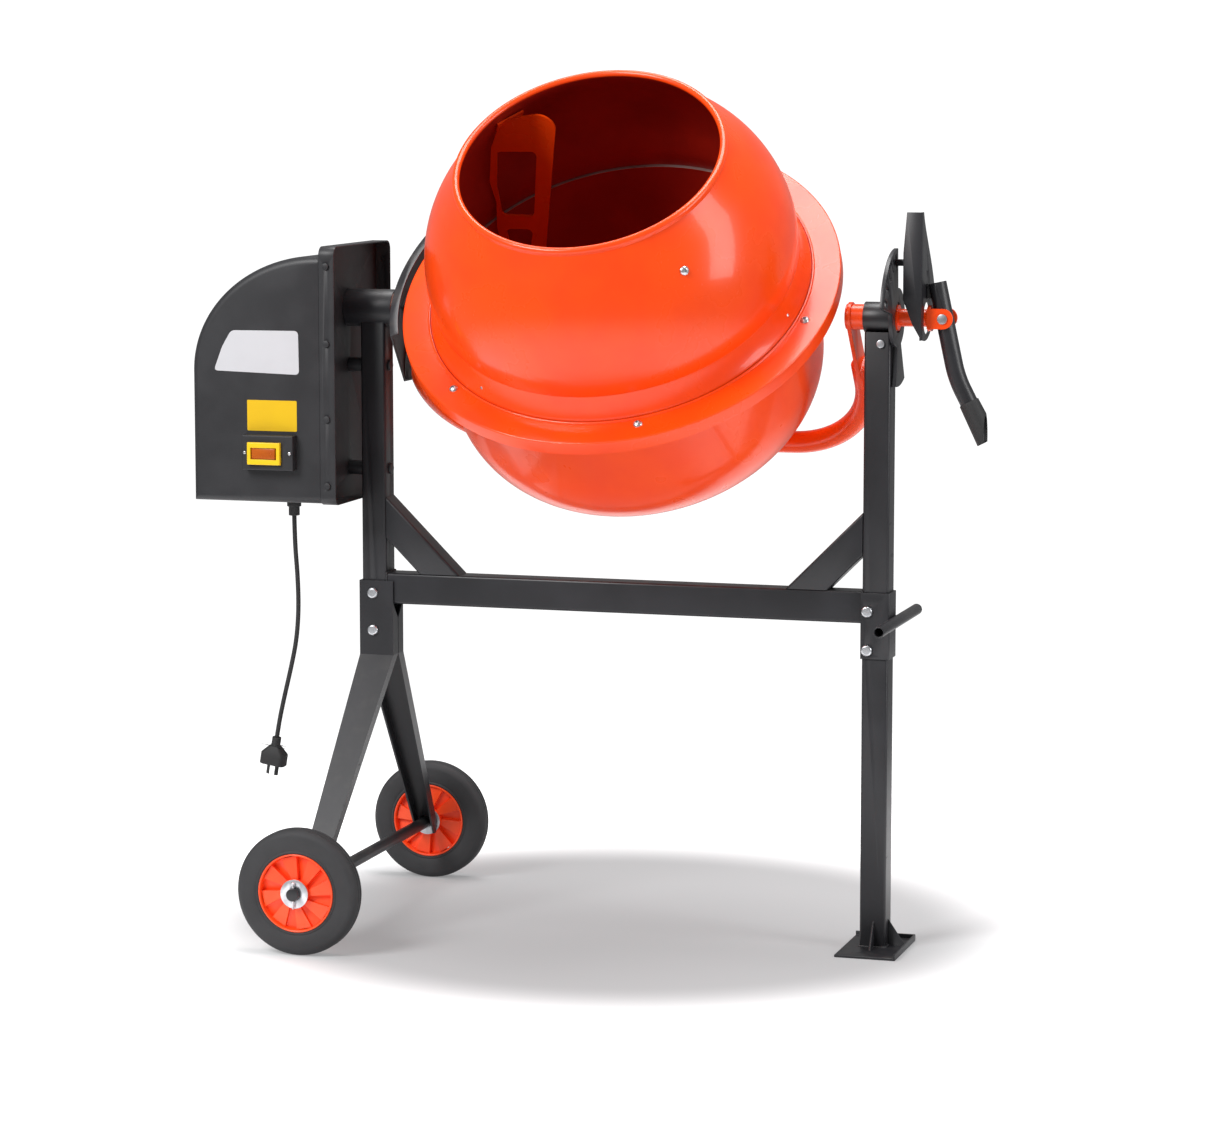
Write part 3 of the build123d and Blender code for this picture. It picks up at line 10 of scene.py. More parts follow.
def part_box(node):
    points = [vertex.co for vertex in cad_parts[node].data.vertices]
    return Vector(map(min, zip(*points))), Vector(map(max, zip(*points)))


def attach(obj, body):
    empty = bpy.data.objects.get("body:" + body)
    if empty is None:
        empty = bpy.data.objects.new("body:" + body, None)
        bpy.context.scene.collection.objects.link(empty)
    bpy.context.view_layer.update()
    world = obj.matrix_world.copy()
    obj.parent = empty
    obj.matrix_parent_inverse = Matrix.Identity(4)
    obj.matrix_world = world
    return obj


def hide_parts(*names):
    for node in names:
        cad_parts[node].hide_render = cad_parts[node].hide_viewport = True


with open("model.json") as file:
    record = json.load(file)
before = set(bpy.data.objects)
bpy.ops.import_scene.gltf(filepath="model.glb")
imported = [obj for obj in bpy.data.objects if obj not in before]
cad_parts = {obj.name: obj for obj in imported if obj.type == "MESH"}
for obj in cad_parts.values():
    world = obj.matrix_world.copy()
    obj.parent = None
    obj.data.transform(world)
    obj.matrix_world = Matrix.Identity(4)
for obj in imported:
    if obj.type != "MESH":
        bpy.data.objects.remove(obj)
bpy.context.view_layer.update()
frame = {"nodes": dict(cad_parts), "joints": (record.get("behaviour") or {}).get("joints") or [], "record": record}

MM = 0.001
WELD_SIZE = 1.8       # half the width of a weld bead, in millimetres
WORLD_LIGHT = 0.3     # strength of the surround's light on the object
SHADOW_MIDDLE = (0.025, 0.07, 0.0)     # the painted soft floor shadow's middle and half sizes, in metres
SHADOW_HALF = (0.66, 0.62, 1.0)
FLOOR_HALF = 3.0
LAMP_TARGET = (0, 0, 0.75)
LAMPS = (   # name, place, size, power
    ("key", (-2.0, -3.4, 3.4), (1.8, 2.0), 190),
    ("side", (3.6, -0.6, 1.9), (1.2, 2.6), 60),
    ("top", (0.2, 0.4, 4.0), (2.6, 1.6), 110),
)

# ---- Places taken from the frame ----
JOINTS = {joint["name"]: joint for joint in frame["joints"]}
RIGHT = Vector((1, 0, 0))
DRUM_POINT = Vector(JOINTS["drum_spin"]["pos_m"])
DRUM_AXIS = Vector(JOINTS["drum_spin"]["axis"]).normalized()
COVER_LOW, COVER_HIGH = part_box("housing_cover")
SWITCH_LOW, SWITCH_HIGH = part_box("switch_box")

# ---- Drum sizes, in millimetres from the tilt axis along the drum's own axis ----
SHEET = 2.5
MOUTH = (200.0, 300.0)
MOUTH_BEAD = 5.5
BELLY = (280.5, 120.0)
BELLY_CURVE = 226.0
BELLY_TURN = 40.2
BELLY_BOLT_LEAN = 33.0
BELLY_BOLT_ANGLE = 135.0
NECK = (278.0, 88.0)
FLARE_MIDDLE = (283.0, 68.0)
FLANGE_TOP = 50.0
FLANGE_RADIUS = 335.0
FLANGE_SKIRT = 22.0
FLANGE_BEAD = (293.0, 2.5)
BOLT_CIRCLE = 305.0
BOLT_COUNT = 6
BOLT_FIRST = -132.0
BOWL_RADIUS = 287.0
BOWL_CORNER = 143.0
BOWL_SIDE = -90.0
BOWL_TOP = 42.0
BOWL_FLANGE = 328.0
SEAM_HEIGHT = 46.0
RIVETS = (-123.0, -14.0, 57.0, 166.0)   # angles of the small rivets round the flare
RIVET_PLACE, RIVET_FOOT = (283.4, 64.0), (277.0, 61.0)   # a rivet's middle, and a point inside it

# ---- Wheel sizes, in millimetres ----
TYRE_RADIUS = 96.0
RIM_RADIUS = 59.5
WHEEL_HALF = 18.0
HUB_RADIUS = 20.0
HUB_HALF = 20.0
AXLE_RADIUS = 9.5
PETALS = 8
VALLEY_TURNS = (25, 25.8, 44.2)   # degrees: a petal's end, then the valley's start and end
PETAL_TWIST = 9                   # degrees by which a petal's inner end lags its outer one
PETAL_FOOT = 3

# ---- Blank name panel, in metres from the cover's inner edge and its foot ----
PANEL_CORNERS = ((0.0327, 0.2288), (0.0336, 0.2957), (0.143, 0.295), (0.158, 0.270), (0.172, 0.233))
PANEL_DROP = 0.032

# ---- Cord ----
CORD_DIAMETER = 0.007
CORD_ROUTE = [
    (-0.4695, -0.0495, 0.634), (-0.4690, -0.0495, 0.590), (-0.4645, -0.0505, 0.540),
    (-0.4630, -0.0515, 0.488), (-0.4670, -0.0515, 0.440), (-0.4770, -0.0505, 0.396),
    (-0.4890, -0.0495, 0.350), (-0.4990, -0.0485, 0.308), (-0.5030, -0.0480, 0.2845),
]


# ---- Material tools ----
class Value:
    """A number or colour that varies over a surface, and can be used in sums."""

    def __init__(self, finish, socket):
        self.finish = finish
        self.socket = socket

    def maths(self, operation, *inputs):
        return self.finish.node("ShaderNodeMath", {"operation": operation}, inputs)

    def __add__(self, other):
        return self.maths("ADD", self, other)

    def __sub__(self, other):
        return self.maths("SUBTRACT", self, other)

    def __rsub__(self, other):
        return self.maths("SUBTRACT", other, self)

    def __mul__(self, other):
        return self.maths("MULTIPLY", self, other)

    __radd__ = __add__
    __rmul__ = __mul__

    def between(self, low, high):
        """0 below low, 1 above high, and smooth between them."""
        settings = {"interpolation_type": "SMOOTHSTEP"}
        inputs = {"Value": self, "From Min": low, "From Max": high}
        return self.finish.node("ShaderNodeMapRange", settings, inputs)


class Finish:
    """One surface finish: a Principled shader fed by patterns in the machine's own coordinates."""

    def __init__(self, name, **constants):
        self.material = bpy.data.materials.new(name)
        self.material.use_nodes = True
        self.tree = self.material.node_tree
        self.shader = self.tree.nodes["Principled BSDF"]
        for key, value in constants.items():
            self.set(key.replace("_", " ").title().replace("Ior", "IOR"), value)

    def put(self, socket, value):
        if isinstance(value, Value):
            self.tree.links.new(value.socket, socket)
        else:
            socket.default_value = value

    def set(self, name, value):
        self.put(self.shader.inputs[name], value)

    def node(self, kind, settings=None, inputs=(), output=0):
        made = self.tree.nodes.new(kind)
        for key, value in (settings or {}).items():
            setattr(made, key, value)
        pairs = inputs.items() if isinstance(inputs, dict) else enumerate(inputs)
        for key, value in pairs:
            self.put(made.inputs[key], value)
        return Value(self, made.outputs[output])

    def place(self, stretch=(1, 1, 1)):
        where = self.node("ShaderNodeTexCoord", output="Object")
        return self.node("ShaderNodeMapping", inputs={"Vector": where, "Scale": stretch})

    def noise(self, size, detail=3.0, stretch=(1, 1, 1)):
        """Soft noise with blobs about size metres across."""
        inputs = {"Vector": self.place(stretch), "Scale": 1 / size, "Detail": detail}
        return self.node("ShaderNodeTexNoise", inputs=inputs)

    def spread(self):
        """Places measured from the middle of the painted soft shadow, as shares of its half width and depth."""
        where = self.node("ShaderNodeTexCoord", output="Object")
        inputs = {"Vector": where, "Location": SHADOW_MIDDLE, "Scale": SHADOW_HALF}
        return self.node("ShaderNodeMapping", {"vector_type": "TEXTURE"}, inputs)

    def cells(self, size):
        inputs = {"Vector": self.place(), "Scale": 1 / size}
        return self.node("ShaderNodeTexVoronoi", inputs=inputs)

    def upward(self):
        """1 on faces that look up, 0 on faces that look sideways or down."""
        normal = self.node("ShaderNodeTexCoord", output="Normal")
        return self.node("ShaderNodeSeparateXYZ", inputs=[normal], output="Z").between(0.3, 0.95)

    def mix(self, factor, first, second):
        settings = {"data_type": "RGBA"}
        return self.node("ShaderNodeMix", settings, {0: factor, 6: first, 7: second}, output=2)

    def bump(self, height, depth):
        inputs = {"Height": height, "Distance": depth, "Strength": 1.0}
        self.set("Normal", self.node("ShaderNodeBump", inputs=inputs))


def rgb(red, green, blue):
    """A display colour from 0 to 255, as linear values."""
    parts = [part / 255 for part in (red, green, blue)]
    return tuple(((p + 0.055) / 1.055) ** 2.4 if p > 0.04 else p / 12.92 for p in parts) + (1.0,)


def painted(name, colour, shade, roughness, grain, depth, dust=0.0, **constants):
    """Sprayed or powder paint: patches of tone, fine texture, hair scratches and settled dust."""
    finish = Finish(name, **constants)
    patches = finish.noise(0.09, 4.0).between(0.35, 0.7)
    fine = finish.noise(grain, 2.0)
    scratches = finish.noise(0.004, 2.0, (1.0, 0.06, 0.35)).between(0.69, 0.74)
    tone = finish.mix(patches, colour, shade)
    settled = finish.upward() * finish.noise(0.03, 5.0).between(0.45, 0.8) * dust
    finish.set("Base Color", finish.mix(settled, tone, rgb(150, 142, 132)))
    finish.set("Roughness", roughness + patches * 0.05 + scratches * 0.12 + settled * 0.3)
    finish.bump(fine + scratches * -0.4, depth)
    return finish.material


def moulded(name, colour, shade, roughness, grain, depth, **constants):
    """Moulded plastic or rubber with a fine spark-eroded grain."""
    finish = Finish(name, **constants)
    pits = finish.cells(grain)
    flow = finish.noise(0.05, 3.0).between(0.3, 0.75)
    finish.set("Base Color", finish.mix(flow, colour, shade))
    finish.set("Roughness", roughness + flow * 0.08 + pits * 0.06)
    finish.bump(pits + finish.noise(grain * 3, 2.0) * 0.6, depth)
    return finish.material


def plated(name, colour, shade, roughness, brush=(1, 1, 1), depth=0.00001):
    """Bare or zinc-plated metal with cloudy tone and fine brush lines."""
    finish = Finish(name, metallic=1.0)
    cloud = finish.noise(0.012, 4.0).between(0.35, 0.7)
    lines = finish.noise(0.0006, 3.0, brush)
    finish.set("Base Color", finish.mix(cloud, colour, shade))
    finish.set("Roughness", roughness + cloud * 0.12 + lines * 0.1)
    finish.bump(lines, depth)
    return finish.material


BLACK = rgb(33, 33, 36)
ORANGE = rgb(255, 76, 9)
FINISHES = {
    "frame_black": painted("frame_black", BLACK, rgb(38, 38, 42), 0.36, 0.0011, 0.00003, dust=0.12),
    # the drum's inside: its orange darkened to a deep red as painted shade
    "drum_inside_shade": painted("drum_inside_shade", rgb(176, 34, 18), rgb(160, 28, 15), 0.38, 0.004, 0.00004),
    "drum_orange": painted("drum_orange", ORANGE, rgb(250, 68, 8), 0.27, 0.004, 0.00004,
                           specular_ior_level=0.3, coat_weight=0.3, coat_roughness=0.08),
    "housing_black": moulded("housing_black", rgb(36, 36, 39), rgb(42, 42, 45), 0.42, 0.0009, 0.00004),
    "zinc": plated("zinc", rgb(216, 218, 222), rgb(186, 188, 192), 0.24),
    "bright_steel": plated("bright_steel", rgb(190, 190, 194), rgb(160, 161, 166), 0.28, (0.1, 1, 1)),
    "gear_iron": plated("gear_iron", rgb(92, 92, 96), rgb(70, 69, 70), 0.5, depth=0.00006),
    "pulley_alloy": plated("pulley_alloy", rgb(200, 201, 204), rgb(178, 180, 184), 0.34, (0.1, 1, 1)),
    "motor_grey": painted("motor_grey", rgb(120, 124, 130), rgb(108, 112, 118), 0.4, 0.002, 0.00004),
    "capacitor_white": moulded("capacitor_white", rgb(225, 224, 218), rgb(214, 212, 204), 0.3, 0.0012,
                               0.00002),
    "bush_nylon": moulded("bush_nylon", rgb(222, 218, 205), rgb(208, 203, 188), 0.45, 0.0012, 0.00003),
    "black_rubber": moulded("black_rubber", rgb(30, 30, 31), rgb(38, 38, 39), 0.58, 0.0007, 0.00005),
    "tyre_black": moulded("tyre_black", rgb(40, 40, 42), rgb(50, 50, 52), 0.6, 0.0009, 0.00006),
    "wheel_orange": painted("wheel_orange", rgb(255, 82, 28), rgb(247, 70, 22), 0.32, 0.003, 0.00002),
    "switch_black": moulded("switch_black", rgb(34, 34, 37), rgb(40, 40, 43), 0.4, 0.0008, 0.00003),
    "switch_yellow": moulded("switch_yellow", rgb(250, 208, 20), rgb(240, 196, 16), 0.3, 0.0012, 0.00001),
    "rocker_amber": moulded("rocker_amber", rgb(224, 120, 24), rgb(198, 92, 14), 0.15, 0.002, 0.00001,
                            transmission_weight=0.25),
    "panel_grey": painted("panel_grey", rgb(206, 206, 210), rgb(200, 200, 204), 0.35, 0.003, 0.00001),
    "label_yellow": painted("label_yellow", rgb(232, 188, 10), rgb(226, 180, 8), 0.38, 0.003, 0.00001),
    "sealant": moulded("sealant", rgb(176, 150, 146), rgb(150, 120, 116), 0.4, 0.0015, 0.00002),
}

SLOTS = {row["node"]: row["material_slot"] for row in frame["record"]["subparts"]}
PAINTED_BLACK = ("housing_screws", "housing_spacers")


def finish_of(node):
    """The finish a CAD node is shown in: its slot's own, but black where it was painted over."""
    return "housing_black" if node in PAINTED_BLACK else SLOTS[node]


# ---- Mesh tools ----
def smooth(mesh, angle=35):
    """Smooth faces with a hard edge wherever two meet at more than the angle."""
    mesh.polygons.foreach_set("use_smooth", [True] * len(mesh.polygons))
    mesh.set_sharp_from_angle(angle=radians(angle))


def mesh_piece(name, mesh, body, finish, slot=None, replaces=(), angle=35):
    """A finished piece: mesh, finish, body to ride on, record slot (not used) and the CAD nodes it stands for."""
    smooth(mesh, angle)
    mesh.materials.clear()
    mesh.materials.append(FINISHES[finish])
    piece = bpy.data.objects.new(name, mesh)
    bpy.context.scene.collection.objects.link(piece)
    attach(piece, body)
    if replaces:
        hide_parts(*replaces)
    return piece


def mesh_from(name, work):
    """A mesh from a bmesh, with merged points and faces that look outwards."""
    bmesh.ops.remove_doubles(work, verts=work.verts, dist=1e-6)
    bmesh.ops.recalc_face_normals(work, faces=work.faces)
    mesh = bpy.data.meshes.new(name)
    work.to_mesh(mesh)
    work.free()
    return mesh


def axes(origin, z_axis, x_axis=RIGHT):
    """A placing matrix whose Z follows one direction and whose X is near another."""
    z = Vector(z_axis).normalized()
    x = (x_axis - z * x_axis.dot(z)).normalized()
    matrix = Matrix((x, z.cross(x), z)).transposed().to_4x4()
    matrix.translation = origin
    return matrix


def arc(centre, radius, start, end, steps):
    """Points on an arc, each (across, along) in millimetres, with angles in degrees."""
    angles = [radians(start + (end - start) * step / steps) for step in range(steps + 1)]
    return [(centre[0] + radius * cos(a), centre[1] + radius * sin(a)) for a in angles]


def bend(first, middle, last, steps):
    """Points on the parabola-like curve through three points."""
    points = []
    for step in range(steps + 1):
        t = step / steps
        control = [2 * m - (f + l) / 2 for f, m, l in zip(first, middle, last)]
        points.append(tuple((1 - t) ** 2 * f + 2 * t * (1 - t) * c + t * t * l
                            for f, c, l in zip(first, control, last)))
    return points


def turned(work, profile, place, steps=96, closed=True):
    """Turn a profile of (radius, height) points in millimetres about the placing matrix's Z."""
    rings = []
    for index in range(steps):
        turn = 2 * pi * index / steps
        ring = [work.verts.new(place @ Vector((r * cos(turn) * MM, r * sin(turn) * MM, s * MM)))
                for r, s in profile]
        rings.append(ring)
    count = len(profile)
    for ring, following in zip(rings, rings[1:] + rings[:1]):
        for low in range(count if closed else count - 1):
            high = (low + 1) % count
            work.faces.new((ring[low], following[low], following[high], ring[high]))


def turned_piece(name, profile, place, body, finish, steps=96, **options):
    work = bmesh.new()
    turned(work, profile, place, steps)
    return mesh_piece(name, mesh_from(name, work), body, finish, **options)


def prism(name, outline, height, place, body, finish, **options):
    """A flat plate from an outline in metres, raised along the placing matrix's Z."""
    work = bmesh.new()
    low = [work.verts.new(place @ Vector((x, y, 0))) for x, y in outline]
    high = [work.verts.new(place @ Vector((x, y, height))) for x, y in outline]
    work.faces.new(low)
    work.faces.new(high)
    for index in range(len(outline)):
        after = (index + 1) % len(outline)
        work.faces.new((low[index], low[after], high[after], high[index]))
    return mesh_piece(name, mesh_from(name, work), body, finish, **options)


def rounded(corners, radius, steps=6):
    """A closed outline whose corners are rounded."""
    outline = []
    count = len(corners)
    for index, corner in enumerate(corners):
        here = Vector(corner)
        to_last = (Vector(corners[index - 1]) - here)
        to_next = (Vector(corners[(index + 1) % count]) - here)
        reach = min(radius, to_last.length / 2, to_next.length / 2)
        start = here + to_last.normalized() * reach
        end = here + to_next.normalized() * reach
        for step in range(steps + 1):
            t = step / steps
            outline.append(tuple((1 - t) ** 2 * start + 2 * t * (1 - t) * here + t * t * end))
    return outline


def softened(node, width, segments=2, angle=35):
    """A CAD node with its sharp edges rounded over, as pressed, sawn or moulded edges are."""
    work = bmesh.new()
    work.from_mesh(frame["nodes"][node].data)
    bmesh.ops.remove_doubles(work, verts=work.verts, dist=2e-5)
    bmesh.ops.dissolve_limit(work, angle_limit=radians(0.5), verts=work.verts, edges=work.edges)
    mesh = bpy.data.meshes.new(node + "_finished")
    work.to_mesh(mesh)
    work.free()
    if "custom_normal" in mesh.attributes:
        mesh.attributes.remove(mesh.attributes["custom_normal"])
    rough = bpy.data.objects.new(node + "_rough", mesh)
    bpy.context.scene.collection.objects.link(rough)
    edge = rough.modifiers.new("edge", "BEVEL")
    edge.width = width * MM
    edge.segments = segments
    edge.limit_method = "ANGLE"
    edge.angle_limit = radians(38)
    edge.use_clamp_overlap = False
    bpy.context.view_layer.update()
    done = bpy.data.meshes.new_from_object(rough.evaluated_get(bpy.context.evaluated_depsgraph_get()))
    bpy.data.objects.remove(rough)
    body = next(name for name, members in BODIES.items() if node in members)
    return mesh_piece(node + "_finished", done, body, finish_of(node), slot=SLOTS[node],
                      replaces=[node], angle=angle)


BODIES = frame["record"]["behaviour"]["bodies"]
DRUM = axes(DRUM_POINT, DRUM_AXIS)


# ---- Geometry Nodes trees ----
class Tree:
    """A Geometry Nodes tree with named inputs."""

    def __init__(self, name, inputs):
        self.group = bpy.data.node_groups.new(name, "GeometryNodeTree")
        self.group.interface.new_socket("Geometry", in_out="INPUT", socket_type="NodeSocketGeometry")
        for label, kind in inputs.items():
            self.group.interface.new_socket(label, in_out="INPUT", socket_type="NodeSocket" + kind)
        self.group.interface.new_socket("Geometry", in_out="OUTPUT", socket_type="NodeSocketGeometry")
        self.given = self.group.nodes.new("NodeGroupInput")
        self.result = self.group.nodes.new("NodeGroupOutput")

    def node(self, kind, settings=None, inputs=None, output=0):
        made = self.group.nodes.new(kind)
        for key, value in (settings or {}).items():
            setattr(made, key, value)
        for key, value in (inputs or {}).items():
            if isinstance(value, bpy.types.NodeSocket):
                self.group.links.new(value, made.inputs[key])
            else:
                made.inputs[key].default_value = value
        return made.outputs[output]

    def close(self, geometry):
        """End the tree with real geometry in its own material."""
        real = self.node("GeometryNodeRealizeInstances", inputs={"Geometry": geometry})
        finished = self.node("GeometryNodeSetMaterial",
                             inputs={"Geometry": real, "Material": self.given.outputs["Material"]})
        self.group.links.new(finished, self.result.inputs["Geometry"])

    def run(self, name, values, base=None):
        """The tree's result as a plain mesh."""
        holder = bpy.data.objects.new(name + "_holder", base or bpy.data.meshes.new(name + "_base"))
        bpy.context.scene.collection.objects.link(holder)
        modifier = holder.modifiers.new(name, "NODES")
        modifier.node_group = self.group
        for item in self.group.interface.items_tree:
            if item.in_out == "INPUT" and item.name in values:
                modifier[item.identifier] = values[item.name]
        bpy.context.view_layer.update()
        depsgraph = bpy.context.evaluated_depsgraph_get()
        mesh = bpy.data.meshes.new_from_object(holder.evaluated_get(depsgraph))
        bpy.data.objects.remove(holder)
        return mesh


def circle_tree():
    """Copies of a fastener's head, spaced evenly round a circle."""
    tree = Tree("heads_on_circle", {"Head": "Object", "Count": "Int", "Radius": "Float", "Start": "Float",
                                    "Height": "Float", "Material": "Material"})
    given = tree.given.outputs
    ring = tree.node("GeometryNodeMeshCircle", inputs={"Vertices": given["Count"], "Radius": given["Radius"]})
    head = tree.node("GeometryNodeObjectInfo", inputs={"Object": given["Head"]}, output="Geometry")
    heads = tree.node("GeometryNodeInstanceOnPoints", inputs={"Points": ring, "Instance": head})
    shift = tree.node("ShaderNodeCombineXYZ", inputs={"Z": given["Height"]})
    turn = tree.node("ShaderNodeCombineXYZ", inputs={"Z": given["Start"]})
    placed = tree.node("GeometryNodeTransform",
                       inputs={"Geometry": heads, "Translation": shift, "Rotation": turn})
    tree.close(placed)
    return tree


def weld_tree():
    """A bead of weld: overlapping drops along a curve, each a little different."""
    tree = Tree("weld_bead", {"Pitch": "Float", "Size": "Float", "Seed": "Int", "Material": "Material"})
    given = tree.given.outputs
    spaced = tree.node("GeometryNodeResampleCurve", {"mode": "LENGTH"},
                       {"Curve": given["Geometry"], "Length": given["Pitch"]})
    points = tree.node("GeometryNodeCurveToPoints", {"mode": "EVALUATED"}, {"Curve": spaced})
    drop = tree.node("GeometryNodeMeshUVSphere", inputs={"Segments": 10, "Rings": 6, "Radius": 1.0})
    spread = tree.node("FunctionNodeRandomValue", {"data_type": "FLOAT"},
                       {2: 0.85, 3: 1.15, "Seed": given["Seed"]}, output=1)
    scale = tree.node("ShaderNodeMath", {"operation": "MULTIPLY"}, {0: spread, 1: given["Size"]})
    drops = tree.node("GeometryNodeInstanceOnPoints",
                      inputs={"Points": points, "Instance": drop, "Scale": scale})
    tree.close(drops)
    return tree


HEADS = circle_tree()
WELD = weld_tree()


def button_head(radius, height, socket):
    """The mesh of a domed screw head with a round recess, standing on Z."""
    work = bmesh.new()
    dome = [(0.01, height * 0.45), (socket, height * 0.45), (socket, height * 0.98)]
    dome += [(radius * cos(a) * 0.999, height * sin(a)) for a in (radians(60 - 12 * i) for i in range(6))]
    dome += [(radius, -0.4), (0.01, -0.4)]
    turned(work, dome, Matrix.Identity(4), steps=20)
    return mesh_from("button_head", work)


def heads_piece(name, head, count, radius, start, height, place, body, finish, **options):
    """A ring of screw heads made by the circle tree."""
    pattern = bpy.data.objects.new(name + "_pattern", head)
    bpy.context.scene.collection.objects.link(pattern)
    values = {"Head": pattern, "Count": count, "Radius": radius * MM, "Start": radians(start),
              "Height": height * MM, "Material": FINISHES[finish]}
    mesh = HEADS.run(name, values)
    bpy.data.objects.remove(pattern)
    mesh.transform(place)
    return mesh_piece(name, mesh, body, finish, **options)


def weld_bead(name, lines, size, body, finish, seed):
    """Weld beads along polylines given in metres."""
    curve = bpy.data.curves.new(name + "_line", "CURVE")
    curve.dimensions = "3D"
    for line in lines:
        spline = curve.splines.new("POLY")
        spline.points.add(len(line) - 1)
        for point, place in zip(spline.points, line):
            point.co = (*place, 1.0)
    values = {"Pitch": size * 0.8 * MM, "Size": size * MM, "Seed": seed, "Material": FINISHES[finish]}
    return mesh_piece(name, WELD.run(name, values, curve), body, finish, angle=60)


def rectangle(corners, fixed, at):
    """A closed rectangle in metres at one value of one axis, from its limits along the other two."""
    (u0, u1), (v0, v1) = corners
    line = []
    for u, v in ((u0, v0), (u1, v0), (u1, v1), (u0, v1), (u0, v0)):
        point = [u, v]
        point.insert(fixed, at)
        line.append(point)
    return line


def frame_welds():
    """Weld beads where the crossbar meets the posts and where the right leg meets its foot."""
    low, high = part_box("crossbar")
    ends = ((low.y, high.y), (low.z, high.z))
    weld_bead("crossbar_welds", [rectangle(ends, 0, low.x), rectangle(ends, 0, high.x)], WELD_SIZE,
              "root", "frame_black", 3)
    low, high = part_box("right_leg")
    sides = ((low.x, high.x), (low.y, high.y))
    weld_bead("foot_welds", [rectangle(sides, 2, low.z)], WELD_SIZE, "root", "frame_black", 5)


def switch_screws():
    """The two bright screws that hold the switch box."""
    inset, ahead = 0.005, 0.0012
    middle_z = (SWITCH_LOW.z + SWITCH_HIGH.z) / 2
    for index, x in enumerate((SWITCH_LOW.x + inset, SWITCH_HIGH.x - inset)):
        head = button_head(2.6, 1.0, 0.8)
        head.transform(axes(Vector((x, SWITCH_LOW.y - ahead, middle_z)), (0, -1, 0)))
        mesh_piece(f"switch_screw_{index + 1}", head, "root", "zinc")


# ---- Camera ----
def camera():
    """The view from slightly right of the front and a little above."""
    azimuth, height = radians(16.8), radians(7.26)
    target = Vector((0.03114, 0.0105, 0.57208))
    back = Vector((sin(azimuth) * cos(height), -cos(azimuth) * cos(height), sin(height)))
    eye = bpy.data.objects.new("camera", bpy.data.cameras.new("camera"))
    eye.location = target + back * 5.87731
    eye.rotation_euler = (-back).to_track_quat("-Z", "Y").to_euler()
    eye.data.lens = 112.65
    eye.data.sensor_width = 36.0
    bpy.context.scene.collection.objects.link(eye)
    bpy.context.scene.camera = eye


# ---- Cord ----
def power_cord():
    curve = bpy.data.curves.new("power_cord_lead", "CURVE")
    curve.dimensions = "3D"
    spline = curve.splines.new("NURBS")
    spline.points.add(len(CORD_ROUTE) - 1)
    for point, place in zip(spline.points, CORD_ROUTE):
        point.co = (*place, 1.0)
    spline.order_u = 3
    spline.use_endpoint_u = True
    curve.bevel_depth = CORD_DIAMETER / 2
    curve.bevel_resolution = 6
    curve.resolution_u = 12
    curve.use_fill_caps = True
    curve.materials.append(FINISHES["black_rubber"])
    lead = bpy.data.objects.new("power_cord_lead", curve)
    bpy.context.scene.collection.objects.link(lead)
    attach(lead, "root")
    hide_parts("power_cord")


# ---- Drum ----
def on_belly(angle, depth=0.0):
    """(radius, height) of a point on the belly's arc, some depth under its outer face."""
    curve = BELLY_CURVE - depth
    return (BELLY[0] - BELLY_CURVE + curve * cos(radians(angle)), BELLY[1] + curve * sin(radians(angle)))


def belly_line(depth, steps=24):
    return [on_belly(BELLY_TURN * step / steps, depth) for step in range(steps + 1)]


def upper_profile():
    """Skirt, flange with its pressed bead, flare, belly, cone and rolled mouth; then back down inside."""
    lip, top = 2.5, FLANGE_TOP
    bead_radius, bead = FLANGE_BEAD
    profile = [(FLANGE_RADIUS - SHEET, top - FLANGE_SKIRT), (FLANGE_RADIUS, top - FLANGE_SKIRT)]
    profile += arc((FLANGE_RADIUS - lip, top - lip), lip, 0, 90, 5)
    profile += arc((bead_radius, top), bead, 0, 150, 6)
    profile += bend((bead_radius - 2.2, top + 3.0), FLARE_MIDDLE, (NECK[0], NECK[1] - 1.5), 8)
    profile += [(NECK[0] - 0.5, NECK[1]), (NECK[0], NECK[1] + 2)]
    profile += belly_line(0)
    slope_end = (MOUTH[0] + 4.0, MOUTH[1] - 5.0)
    profile += [slope_end]
    profile += arc((MOUTH[0] - 1, MOUTH[1]), MOUTH_BEAD, -20, 235, 14)
    profile += list(reversed(belly_line(SHEET)))
    profile += [(NECK[0] - SHEET, NECK[1]), (FLARE_MIDDLE[0] - SHEET, FLARE_MIDDLE[1])]
    profile += [(bead_radius - 5, top - SHEET), (FLANGE_RADIUS - SHEET, top - SHEET)]
    return profile


def lower_profile():
    """Flange, straight wall, rounded corner and flat bottom; then back up inside."""
    centre = (BOWL_RADIUS - BOWL_CORNER, BOWL_SIDE)
    top = BOWL_TOP + SHEET
    profile = [(BOWL_FLANGE, BOWL_TOP), (BOWL_FLANGE, top), (BOWL_RADIUS - SHEET, top)]
    profile += arc(centre, BOWL_CORNER - SHEET, 0, -90, 24)
    profile += [(0.01, BOWL_SIDE - BOWL_CORNER + SHEET), (0.01, BOWL_SIDE - BOWL_CORNER)]
    profile += arc(centre, BOWL_CORNER, -90, 0, 24)
    profile += [(BOWL_RADIUS, BOWL_TOP - 3), (BOWL_RADIUS + 3, BOWL_TOP)]
    return profile


def paint_inside_shade(shell):
    """Give the faces that look towards the drum's axis a duller, darker red: painted shade on the drum's inside.
    """
    shell.data.materials.append(FINISHES["drum_inside_shade"])
    for face in shell.data.polygons:
        out = face.center - DRUM_POINT
        height = out.dot(DRUM_AXIS)
        out = out - DRUM_AXIS * height
        wall = height > BOWL_TOP * MM or out.length < (BOWL_RADIUS - 1) * MM
        floor = height < BOWL_SIDE * MM and face.normal.dot(DRUM_AXIS) > 0.2
        inward = face.normal.dot(out.normalized()) < -0.1 or floor
        if inward and wall and out.length < (BOWL_FLANGE - 35) * MM and height < MOUTH[1] * MM:
            face.material_index = 1


